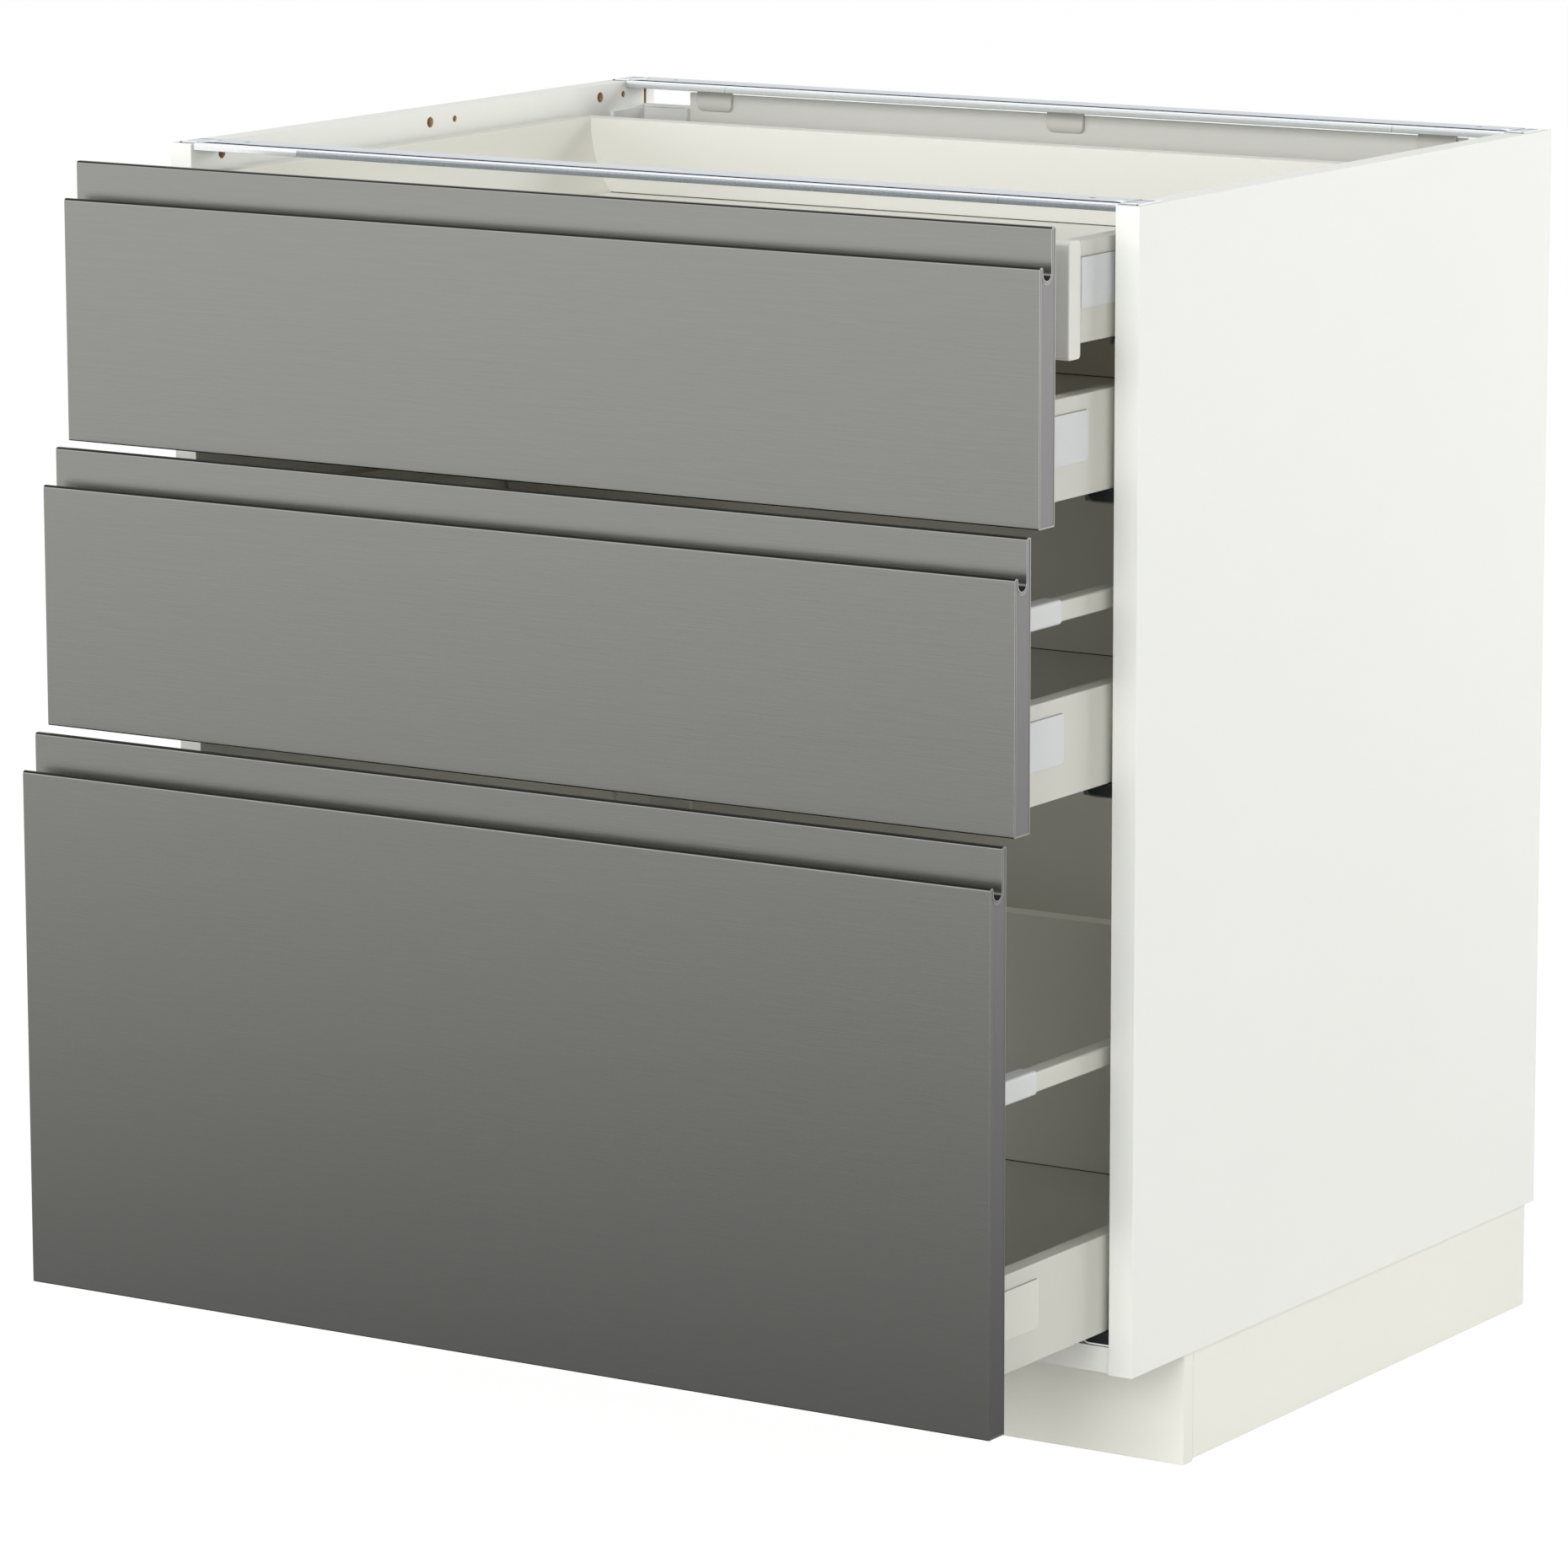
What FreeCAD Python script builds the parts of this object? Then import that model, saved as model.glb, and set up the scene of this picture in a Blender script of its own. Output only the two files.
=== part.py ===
"""Kitchen base cabinet with three steel-look drawers and one inner drawer.

The frame of the whole part: X runs across the front, the drawers open towards -Y and
Z points up. The origin lies on the floor, in the middle of the part's outline as it
stands with its drawers part open. Inside this file a depth is measured from the front
edge of the side panels, and every piece is shifted back by the same amount at the end.
"""
import FreeCAD, Part
import math
import os
import Sketcher
from collections import namedtuple

os.makedirs("parts", exist_ok=True)
doc = FreeCAD.newDocument("drawer_unit")
Vector = FreeCAD.Vector

# Driving dimensions, in millimetres

DIMENSIONS = [
    ("cabinet_width", 800, "over the outside of both side panels"),
    ("cabinet_depth", 600, "front edge to rear edge of a side panel"),
    ("cabinet_height", 800, "side panel, without the plinth"),
    ("base_height", 80, "floor to the underside of the cabinet"),
    ("board", 18, "coated chipboard of the cabinet"),
    ("bottom_setback", 5, "front edge of the bottom panel behind the side panels"),
    ("back_thick", 3, "hardboard back"),
    ("back_inset", 11, "rear face of the back to the rear edge of the side panels"),
    ("back_drop", 8.6, "top of the back below the top of the side panels"),
    ("back_reach", 4.5, "how far the back enters the groove of a side panel"),
    ("groove_deep", 5, "groove in a side panel"),
    ("groove_play", 0.1, "room on each face of the back in its groove"),
    ("notch_wide", 43, "cut-out at the top corners of the back"),
    ("notch_drop", 19, "lower edge of that cut-out below the top of the side panels"),
    ("corner_side_long", 48, "corner profile along the side panel"),
    ("corner_side_thick", 3.5, "corner profile along the side panel"),
    ("corner_back_thick", 4.5, "corner profile along the back"),
    ("corner_drop", 21, "top of the corner profile below the top of the side panels"),
    ("clip_wide", 32, "clip that holds the back to the rear rail"),
    ("clip_thick", 3.5, "clip, front to rear"),
    ("clip_hang", 22, "lower edge of the clip below the top of the side panels"),
    ("clip_round", 2, "lower front edge of the clip"),
    ("clip_play", 1, "outer clips beside the tongue of a rail end piece"),
    ("rail_sheet", 1, "galvanised sheet of the top rails"),
    ("rail_depth", 34, "top rail, front to rear"),
    ("rail_high", 7.5, "rear flange of a top rail"),
    ("rail_front_gap", 2, "front rail behind the front edge of the side panels"),
    ("rail_rear_gap", 6, "rear rail in front of the rear edge of the side panels"),
    ("nose_wide", 8, "rounded front lip of a rail"),
    ("nose_low", 0.6, "the lip below the flat top of the rail"),
    ("nose_round", 2, "radius on the front of the lip"),
    ("nose_high", 5.5, "front flange below the flat top of the rail"),
    ("slot_wide", 3.5, "groove between the lip and the flat top of a rail"),
    ("slot_deep", 3.8, "that groove below the flat top"),
    ("connector_long", 92, "end piece of a rail, inside the side panels"),
    ("tab_long", 16, "tongue of the end piece on the edge of the side panel"),
    ("tab_wide", 29, "that tongue, front to rear"),
    ("tab_offset", 3, "front of the tongue behind the front of the rail"),
    ("tongue_long", 40, "how far the end piece reaches under the rail"),
    ("tongue_root", 8, "how far that tongue reaches under the end piece itself"),
    ("tongue_side_gap", 0.5, "room beside the tongue"),
    ("worktop_hole_inset", 32, "worktop screw hole from the inside of a side panel"),
    ("worktop_hole_radius", 2.5, "worktop screw hole"),
    ("front_gap", 2, "closed front to the edge of the side panels"),
    ("front_side_reveal", 1.5, "front short of the outside of the side panels"),
    ("front_spacing", 3, "between two fronts, and below the worktop"),
    ("front_thick", 20.5, "drawer front"),
    ("front_plate", 5.5, "upright part of the front behind the finger groove"),
    ("groove_wide", 10.5, "finger groove"),
    ("groove_drop", 34.5, "bottom of the finger groove below the top of the front"),
    ("lip_drop", 25, "lip of the finger groove below the top of the front"),
    ("small_front_high", 197, "front of the upper two drawers"),
    ("side_play", 4, "drawer side to side panel"),
    ("side_high", 68, "double wall of a drawer side"),
    ("side_ledge", 13.5, "flat top of a drawer side"),
    ("side_spread", 31.5, "outer face of a drawer side to its inner face at the floor"),
    ("side_sheet", 1.5, "steel sheet of a drawer side"),
    ("side_lip", 6, "straight part of the inner face under the ledge"),
    ("side_foot", 22, "flange of a drawer side under the drawer floor"),
    ("side_return", 3.5, "folded lower edge of the outer wall"),
    ("floor_thick", 9, "drawer floor"),
    ("drawer_back_thick", 16, "drawer back"),
    ("drawer_back_play", 1, "end of the drawer back inside the drawer's side face"),
    ("runner_notch_play", 1.5, "drawer back above the runner"),
    ("inner_front_thick", 16, "front of the inner drawer"),
    ("inner_front_high", 79, "front of the inner drawer"),
    ("inner_front_below", 10.5, "that front below the drawer side"),
    ("inner_front_round", 3, "edges of that front"),
    ("inner_shift", 32, "inner drawer's runners behind those of the others"),
    ("open_inner", 68, "inner drawer at rest, from closed"),
    ("open_low", 104, "upper drawer at rest, from closed"),
    ("open_medium", 134, "middle drawer at rest, from closed"),
    ("open_high", 164, "lowest drawer at rest, from closed"),
    ("inner_side_drop", 88, "side of the inner drawer below the top of the side panels"),
    ("side_lift", 10, "side of the upper two drawers above the lower edge of the front"),
    ("high_side_lift", 12, "side of the lowest drawer above the bottom panel"),
    ("medium_back_high", 132, "back of the middle drawer above its side's lower edge"),
    ("high_back_high", 198, "back of the lowest drawer above its side's lower edge"),
    ("shallow_back_drop", 1, "back of a shallow drawer below the top of its sides"),
    ("railing_tall", 14, "railing above a drawer side"),
    ("railing_wide", 13.5, "railing above a drawer side"),
    ("railing_inset", 2, "railing inside the drawer's outer face"),
    ("bracket_wall", 1.5, "sleeve on the front end of a railing"),
    ("bracket_proud", 0.75, "sleeve beside the railing"),
    ("bracket_long", 77, "sleeve on the front end of a railing"),
    ("cap_long", 78, "cover cap on a drawer side"),
    ("cap_low", 23, "cover cap above the lower edge of the side"),
    ("cap_high", 34, "cover cap"),
    ("cap_thick", 0.7, "cover cap"),
    ("cap_round", 3, "corners of the cover cap"),
    ("fixing_sheet", 2, "bracket between a drawer side and its front"),
    ("fixing_long", 74, "that bracket along the drawer side"),
    ("fixing_low", 25, "that bracket above the lower edge of the side"),
    ("fixing_high", 30, "that bracket"),
    ("fixing_wide", 10, "flange of that bracket on the rear of the front"),
    ("runner_sheet", 1.5, "sheet of the runner profiles"),
    ("runner_start", 3, "fixed profile behind the front edge of the side panels"),
    ("runner_end_gap", 3, "rear end of the inner drawer's runner to the corner profile"),
    ("runner_drop", 10, "fixed profile below the drawer side"),
    ("runner_web_top", 30, "fixed profile above the lower edge of the drawer side"),
    ("runner_flange", 24, "fixed profile, from the side panel inwards"),
    ("runner_shelf", 0.5, "running face of the fixed profile above the drawer's edge"),
    ("runner_keeper", 4, "height of the fold that keeps the middle profile"),
    ("runner_hook", 4, "width of the folds that hook round the middle profile"),
    ("slide_gap", 0.5, "running gap between two profiles"),
    ("keeper_inset", 4.5, "that keeping fold inside the outer wall of the drawer side"),
    ("middle_high", 15, "middle profile"),
    ("middle_wide", 11.5, "middle profile"),
    ("middle_short", 20, "middle profile shorter than the fixed one"),
    ("middle_start", 7, "middle profile behind the front end of the fixed one, closed"),
    ("carrier_start", 10, "drawer profile behind the drawer front"),
    ("carrier_end_gap", 4, "drawer profile in front of the drawer back"),
    ("carrier_foot", 2, "drawer profile above the lower edge of the side"),
    ("guide_wide", 21, "plastic guide at the front end of the fixed profile"),
    ("guide_round", 6, "lower corner of that guide"),
    ("guide_play", 0.5, "guide below the drawer side"),
    ("damper_radius", 3.5, "closing damper"),
    ("damper_long", 120, "closing damper"),
    ("damper_end_gap", 20, "closing damper in front of the rear end of the fixed profile"),
    ("damper_offset", 3, "closing damper inwards of the middle of the fixed profile"),
    ("first_hole_inset", 37, "first row of fixing holes behind the front edge"),
    ("hole_step", 32, "distance in a pair of fixing holes"),
    ("middle_hole_inset", 297, "second row of fixing holes behind the front edge"),
    ("last_hole_inset", 75, "third row of upper holes in front of the rear edge"),
    ("end_screw_inset", 18, "last runner screw in front of the end of the fixed profile"),
    ("top_hole_drop", 9.5, "upper holes below the top of the side panels"),
    ("top_hole_radius", 4, "first upper hole of a pair"),
    ("pin_hole_radius", 2.5, "second upper hole of a pair, and the runner holes"),
    ("hole_deep", 12, "blind holes in the side panels"),
    ("screw_level", 15, "runner screws above the lower edge of the drawer side"),
    ("screw_head_radius", 4, "runner screw"),
    ("screw_head_thick", 1.3, "runner screw"),
    ("screw_radius", 2.3, "runner screw"),
    ("screw_long", 10, "runner screw in the side panel"),
    ("hole_play", 0.2, "room round a screw, bolt or dowel"),
    ("cut_margin", 1.5, "how far the tool of a hole stands out of a thin sheet"),
    ("cam_radius", 7.5, "cam housing in the bottom panel"),
    ("cam_deep", 12.5, "cam housing"),
    ("cam_inset", 34, "cam from the end of the bottom panel"),
    ("bolt_radius", 3.5, "bolt of the cam"),
    ("bolt_deep", 11, "bolt in the side panel"),
    ("cam_first_inset", 60, "first cam behind the front edge of the side panels"),
    ("cam_last_inset", 130, "last cam in front of the rear edge"),
    ("dowel_radius", 4, "wooden dowel"),
    ("dowel_half", 13, "wooden dowel, in each board"),
    ("leg_inset", 38.5, "leg to the inner face of the plinth boards"),
    ("leg_rear_inset", 60, "rear legs in front of the rear edge of the side panels"),
    ("leg_plate", 64, "square top of a leg"),
    ("leg_plate_thick", 3, "square top of a leg"),
    ("leg_radius", 17, "tube of a leg"),
    ("leg_bottom", 26, "tube of a leg above the floor"),
    ("stem_radius", 8, "stem of a foot"),
    ("stem_play", 0.4, "room round that stem"),
    ("stem_top", 60, "top of that stem above the floor"),
    ("stem_room", 5, "room above that stem"),
    ("foot_radius", 25, "disc of a foot"),
    ("foot_rim", 5, "rim of that disc"),
    ("foot_dome", 10, "disc where it meets its collar"),
    ("collar_radius", 14, "collar of a foot"),
    ("plinth_setback", 78, "plinth behind the front edge of the side panels"),
    ("plinth_thick", 13, "plinth boards"),
    ("plinth_side_inset", 3, "plinth inside the outer face of the side panels"),
    ("plinth_rear_gap", 8, "side plinth in front of the rear edge"),
    ("plinth_side_lift", 2, "side plinth above the floor"),
    ("clamp_long", 46, "plinth clip along its board"),
    ("clamp_sheet", 3, "plinth clip"),
    ("clamp_high", 16, "plinth clip"),
    ("clamp_top_gap", 5, "clips of the side plinths under the plate of the leg"),
    ("clamp_step_gap", 6, "clips of the front plinth under those of the side plinths"),
    ("clamp_play", 0.3, "plinth clip beside the leg"),
    ("clamp_past", 8.5, "prongs of the plinth clip past the middle of the leg"),
]


def make_sheet():
    """Puts every driving dimension into the sheet under its own name."""
    sheet = doc.addObject("Spreadsheet::Sheet", "Sizes")
    for row, (alias, value, note) in enumerate(DIMENSIONS, start=1):
        sheet.set("A%d" % row, note)
        sheet.set("B%d" % row, str(value))
        sheet.setAlias("B%d" % row, alias)
    return sheet


class Size:
    """A length with its value now and the sheet formula that it is bound to."""

    def __init__(self, value, formula):
        self.value = float(value)
        self.formula = formula

    def __add__(self, other):
        other = as_size(other)
        return Size(self.value + other.value, "(%s + %s)" % (self.formula, other.formula))

    def __sub__(self, other):
        other = as_size(other)
        return Size(self.value - other.value, "(%s - %s)" % (self.formula, other.formula))

    def __mul__(self, other):
        other = as_size(other)
        return Size(self.value * other.value, "(%s * %s)" % (self.formula, other.formula))

    def __truediv__(self, other):
        other = as_size(other)
        return Size(self.value / other.value, "(%s / %s)" % (self.formula, other.formula))

    def __neg__(self):
        return Size(-self.value, "(0 - %s)" % self.formula)

    __radd__ = __add__
    __rmul__ = __mul__

    def __rsub__(self, other):
        return as_size(other) - self


def as_size(value):
    """Turns a plain number into a length."""
    return value if isinstance(value, Size) else Size(value, repr(float(value)))


def root(size):
    """Square root of a length's number."""
    return Size(math.sqrt(size.value), "sqrt(%s)" % size.formula)


make_sheet()
D = {alias: Size(value, "Sizes." + alias) for alias, value, note in DIMENSIONS}

# Places that several pieces share

HALF = D["cabinet_width"] / 2
INNER = HALF - D["board"]
FLOOR_TOP = D["base_height"] + D["board"]
CABINET_TOP = D["base_height"] + D["cabinet_height"]
DRAWER_HALF = INNER - D["side_play"]
FRONT_HALF = HALF - D["front_side_reveal"]
SHIFT = (D["open_high"] + D["front_gap"] + D["front_thick"] - D["cabinet_depth"]) / 2
BACK_FRONT = D["cabinet_depth"] - D["back_inset"] - D["back_thick"]
RAIL_TOP = CABINET_TOP + D["rail_sheet"]
LEG_X = HALF - D["plinth_side_inset"] - D["plinth_thick"] - D["leg_inset"]
LEG_FRONT = D["plinth_setback"] + D["plinth_thick"] + D["leg_inset"]
LEG_REAR = D["cabinet_depth"] - D["leg_rear_inset"]
CORNER_START = BACK_FRONT - D["corner_side_long"]
SIDE_LONG = CORNER_START + D["front_gap"] - D["drawer_back_thick"]
RUNNER_LONG = CORNER_START - D["runner_end_gap"] - D["inner_shift"] - D["runner_start"]
FRONT_STEP = D["front_spacing"] + D["small_front_high"]
FRONT_EDGES = {
    "low": CABINET_TOP - FRONT_STEP,
    "medium": CABINET_TOP - FRONT_STEP - FRONT_STEP,
    "high": D["base_height"],
}
LARGE_FRONT = FRONT_EDGES["medium"] - D["front_spacing"] - FRONT_EDGES["high"]
DRAWER_FLOOR_TOP = D["side_sheet"] + D["floor_thick"]
SIDE_FLOOR_X = DRAWER_HALF - D["side_spread"]
MIDDLE_LOW = D["runner_shelf"] + D["slide_gap"]
MIDDLE_TOP = MIDDLE_LOW + D["middle_high"]
CARRIER_TOP = MIDDLE_TOP + D["slide_gap"] + D["runner_sheet"]
MIDDLE_IN = (DRAWER_HALF - D["side_sheet"] - D["keeper_inset"] - D["slide_gap"]
             - D["middle_wide"])
SHALLOW_BACK = D["side_high"] - D["shallow_back_drop"]
NONE = as_size(0)

# Each drawer: level of its sides, how far it is open, how far its runners stand back from
# those of the outer drawers, and the height of its back
Drawer = namedtuple("Drawer", "level opening runner_shift back_high")
DRAWERS = {
    "inner": Drawer(CABINET_TOP - D["inner_side_drop"], D["open_inner"], D["inner_shift"],
                    SHALLOW_BACK),
    "low": Drawer(FRONT_EDGES["low"] + D["side_lift"], D["open_low"], NONE, SHALLOW_BACK),
    "medium": Drawer(FRONT_EDGES["medium"] + D["side_lift"], D["open_medium"], NONE,
                     D["medium_back_high"]),
    "high": Drawer(FLOOR_TOP + D["high_side_lift"], D["open_high"], NONE, D["high_back_high"]),
}
DEEP_DRAWERS = ("medium", "high")

# Helpers that make one kind of piece each


def bind(thing, name, size):
    """Ties a property to the sheet."""
    thing.setExpression(name, as_size(size).formula)


def place(thing, x=0, y=0, z=0):
    """Ties the position of a piece to the sheet, with the common shift in depth."""
    bind(thing, "Placement.Base.x", x)
    bind(thing, "Placement.Base.y", as_size(y) + SHIFT)
    bind(thing, "Placement.Base.z", z)
    return thing


def box(label, corner, sizes):
    """A plain rectangular piece: its lowest corner and its three sizes."""
    piece = doc.addObject("Part::Box", label)
    piece.Label = label
    for name, size in zip(("Length", "Width", "Height"), sizes):
        bind(piece, name, size)
    return place(piece, *corner)


TURNS = {
    "x": FreeCAD.Rotation(Vector(0, 1, 0), 90),
    "y": FreeCAD.Rotation(Vector(1, 0, 0), -90),
    "z": FreeCAD.Rotation(),
}


def rod(label, start, radius, length, axis):
    """A round piece that runs from its start along X, Y or Z."""
    piece = doc.addObject("Part::Cylinder", label)
    piece.Label = label
    bind(piece, "Radius", radius)
    bind(piece, "Height", length)
    piece.Placement = FreeCAD.Placement(Vector(), TURNS[axis])
    return place(piece, *start)


def draw(body, plane, outline):
    """A sketch on one of the body's own planes, with every corner tied to the sheet.

    The outline is a list of corners (across, up), joined by straight lines. A third
    entry (centre across, centre up, way) makes the edge to the next corner an arc that
    runs anticlockwise for way 1 and clockwise for way -1.
    """
    sketch = body.newObject("Sketcher::SketchObject", body.Label + "_outline")
    origin = [part for part in body.Origin.OriginFeatures if part.Role == plane][0]
    sketch.AttachmentSupport = [(origin, "")]
    sketch.MapMode = "FlatFace"
    corners = [tuple(as_size(value) for value in corner[:2]) for corner in outline]
    ends = []
    for index, corner in enumerate(outline):
        here = corners[index]
        there = corners[(index + 1) % len(corners)]
        if len(corner) == 2:
            line = Part.LineSegment(spot(here), spot(there))
            ends.append((sketch.addGeometry(line), 1, 2))
            continue
        across, up, way = corner[2]
        centre = (as_size(across), as_size(up))
        first, last = (here, there) if way > 0 else (there, here)
        radius = math.dist((here[0].value, here[1].value), (centre[0].value, centre[1].value))
        circle = Part.Circle(spot(centre), Vector(0, 0, 1), radius)
        arc = Part.ArcOfCircle(circle, bearing(centre, first), bearing(centre, last))
        number = sketch.addGeometry(arc)
        ends.append((number, 1, 2) if way > 0 else (number, 2, 1))
        flat = abs(here[0].value - there[0].value) >= abs(here[1].value - there[1].value)
        tie(sketch, "DistanceY" if flat else "DistanceX", number, 3, centre[1 if flat else 0])
    for index, (number, start, finish) in enumerate(ends):
        following, next_start, next_finish = ends[(index + 1) % len(ends)]
        sketch.addConstraint(
            Sketcher.Constraint("Coincident", number, finish, following, next_start))
        tie(sketch, "DistanceX", number, start, corners[index][0])
        tie(sketch, "DistanceY", number, start, corners[index][1])
    return sketch


def spot(point):
    """A sketch point at today's values."""
    return Vector(point[0].value, point[1].value, 0)


def bearing(centre, point):
    """The angle of a point seen from a centre."""
    return math.atan2(point[1].value - centre[1].value, point[0].value - centre[0].value)


def tie(sketch, kind, number, which, size):
    """Holds one coordinate of a sketch point at a length from the sheet."""
    constraint = Sketcher.Constraint(kind, -1, 1, number, which, size.value)
    index = sketch.addConstraint(constraint)
    sketch.setExpression("Constraints[%d]" % index, size.formula)


def prism(label, plane, outline, length, corner):
    """An outline pushed out to a length: along X, Y or Z by the plane it is drawn on."""
    body = doc.addObject("PartDesign::Body", label)
    body.Label = label
    pad = body.newObject("PartDesign::Pad", label + "_pad")
    pad.Profile = draw(body, plane, outline)
    pad.Reversed = plane == "XZ_Plane"
    bind(pad, "Length", length)
    body.Tip = pad
    return place(body, *corner)


def turned(label, outline, corner):
    """An outline turned round the upright axis."""
    body = doc.addObject("PartDesign::Body", label)
    body.Label = label
    sketch = draw(body, "XZ_Plane", outline)
    spin = body.newObject("PartDesign::Revolution", label + "_turn")
    spin.Profile = sketch
    spin.ReferenceAxis = (sketch, ["V_Axis"])
    spin.Angle = 360
    body.Tip = spin
    return place(body, *corner)


def group(label, pieces):
    """Several loose pieces that share one node."""
    node = doc.addObject("Part::Compound", label)
    node.Label = label
    node.Links = pieces
    return node


def fuse(label, pieces):
    """Pieces that are one solid in the real thing."""
    node = doc.addObject("Part::MultiFuse", label)
    node.Label = label
    node.Shapes = pieces
    return node


def cut(label, base, tools):
    """A piece with holes or slots taken out of it."""
    node = doc.addObject("Part::Cut", label)
    node.Label = label
    node.Base = base
    node.Tool = group(label + "_tools", tools)
    return node


def mirrored(label, source):
    """The same piece on the left side."""
    node = doc.addObject("Part::Mirroring", label)
    node.Label = label
    node.Source = source
    node.Normal = (1, 0, 0)
    return node


def pair(label, source):
    """A piece on the right together with its mirror image on the left."""
    return group(label, [source, mirrored(label + "_mirror", source)])


def rectangle(low, high):
    """The four corners of an upright or flat rectangle."""
    return [(low[0], low[1]), (high[0], low[1]), (high[0], high[1]), (low[0], high[1])]


def drawer_place(name):
    """Depth of the rear face of a drawer's front and level of its sides, at rest."""
    row = DRAWERS[name]
    return row.runner_shift - D["front_gap"] - row.opening, row.level


def runner_place(name):
    """Depth of the front end of a fixed runner and level of the drawer side."""
    return DRAWERS[name].runner_shift + D["runner_start"], DRAWERS[name].level


# Cabinet


def runner_holes(radius, start, length, names, label):
    """Round rods for the screws of the runners of some drawers, in three rows."""
    last = D["runner_start"] + RUNNER_LONG - D["end_screw_inset"]
    rows = (D["first_hole_inset"], D["middle_hole_inset"], last)
    rods = []
    for name in names:
        drawer_row = DRAWERS[name]
        height = drawer_row.level + D["screw_level"]
        for row, depth in enumerate(rows):
            rods.append(rod("%s_%s_%d" % (label, name, row),
                            (start, depth + drawer_row.runner_shift, height),
                            radius, length, "x"))
    return rods


def joint_depths():
    """Depths of the cams along the bottom panel, and of the dowels halfway between."""
    first = D["cam_first_inset"]
    last = D["cabinet_depth"] - D["cam_last_inset"]
    middle = (first + last) / 2
    return (first, middle, last), ((first + middle) / 2, (middle + last) / 2)


def side_panels():
    """Two upright boards with a groove for the back and blind holes on the inside."""
    groove_front = BACK_FRONT - D["groove_play"]
    groove_rear = BACK_FRONT + D["back_thick"] + D["groove_play"]
    outline = [
        (INNER, 0), (HALF, 0), (HALF, D["cabinet_depth"]), (INNER, D["cabinet_depth"]),
        (INNER, groove_rear), (INNER + D["groove_deep"], groove_rear),
        (INNER + D["groove_deep"], groove_front), (INNER, groove_front),
    ]
    board = prism("side_board", "XY_Plane", outline, D["cabinet_height"],
                  (0, 0, D["base_height"]))
    holes = runner_holes(D["pin_hole_radius"], INNER, D["hole_deep"], DRAWERS, "runner_hole")
    top = CABINET_TOP - D["top_hole_drop"]
    last = D["cabinet_depth"] - D["last_hole_inset"]
    for row, depth in enumerate((D["first_hole_inset"], D["middle_hole_inset"], last)):
        holes.append(rod("top_hole_%d" % row, (INNER, depth, top),
                         D["top_hole_radius"], D["hole_deep"], "x"))
        holes.append(rod("top_pin_hole_%d" % row, (INNER, depth + D["hole_step"], top),
                         D["pin_hole_radius"], D["hole_deep"], "x"))
    cams, dowels = joint_depths()
    middle = D["base_height"] + D["board"] / 2
    for row, depth in enumerate(cams):
        holes.append(rod("side_bolt_hole_%d" % row, (INNER, depth, middle),
                         D["bolt_radius"] + D["hole_play"], D["bolt_deep"] + D["hole_play"], "x"))
    for row, depth in enumerate(dowels):
        holes.append(rod("side_dowel_hole_%d" % row, (INNER, depth, middle),
                         D["dowel_radius"] + D["hole_play"], D["dowel_half"] + D["hole_play"], "x"))
    right = cut("side_panel_right", board, holes)
    return [right, mirrored("side_panel_left", right)]


def cam_row(label, play):
    """The cam housings with their bolts, or with play added, the holes for them."""
    pieces = []
    middle = D["base_height"] + D["board"] / 2
    centre = INNER - D["cam_inset"]
    for row, depth in enumerate(joint_depths()[0]):
        housing = rod("%s_housing_%d" % (label, row), (centre, depth, D["base_height"]),
                      D["cam_radius"] + play, D["cam_deep"] + play, "z")
        bolt = rod("%s_bolt_%d" % (label, row), (centre, depth, middle),
                   D["bolt_radius"] + play, D["cam_inset"] + D["bolt_deep"], "x")
        pieces.append(fuse("%s_%d" % (label, row), [housing, bolt]))
    return pieces


def dowel_row(label, play):
    """The dowels, or with play added, the holes for them."""
    middle = D["base_height"] + D["board"] / 2
    start = INNER - D["dowel_half"] - play
    return [rod("%s_%d" % (label, row), (start, depth, middle), D["dowel_radius"] + play,
                (D["dowel_half"] + play) * 2, "x")
            for row, depth in enumerate(joint_depths()[1])]


def bottom_panel():
    """The board between the side panels, with its cam and dowel holes."""
    board = box("bottom_board", (-INNER, D["bottom_setback"], D["base_height"]),
                (INNER * 2, BACK_FRONT - D["bottom_setback"], D["board"]))
    right = group("bottom_holes", cam_row("cam_hole", D["hole_play"])
                  + dowel_row("dowel_hole", D["hole_play"]))
    return cut("bottom_panel", board, [right, mirrored("bottom_holes_left", right)])


def board_joints():
    """Cams with bolts, and dowels, between the bottom panel and the side panels."""
    return [pair("cam_fittings", group("cams_right", cam_row("cam", NONE))),
            pair("frame_dowels", group("dowels_right", dowel_row("dowel", NONE)))]


def back_panel():
    """Thin back in the grooves of the side panels, notched at its top corners."""
    edge = INNER + D["back_reach"]
    notch = INNER - D["notch_wide"]
    top = CABINET_TOP - D["back_drop"] - D["base_height"]
    shoulder = CABINET_TOP - D["notch_drop"] - D["base_height"]
    outline = [(-edge, 0), (edge, 0), (edge, shoulder), (notch, shoulder), (notch, top),
               (-notch, top), (-notch, shoulder), (-edge, shoulder)]
    return prism("back_panel", "XZ_Plane", outline, D["back_thick"],
                 (0, BACK_FRONT, D["base_height"]))


def back_corner_profiles():
    """Upright angle profiles that stiffen the corners between side panels and back."""
    side_face = INNER - D["corner_side_thick"]
    inner_edge = INNER - D["notch_wide"]
    front_face = -D["corner_back_thick"]
    outline = [(inner_edge, front_face), (side_face, front_face),
               (side_face, -D["corner_side_long"]), (INNER, -D["corner_side_long"]),
               (INNER, 0), (inner_edge, 0)]
    high = D["cabinet_height"] - D["board"] - D["corner_drop"]
    right = prism("corner_profile", "XY_Plane", outline, high, (0, BACK_FRONT, FLOOR_TOP))
    return pair("back_corner_profiles", right)


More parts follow.
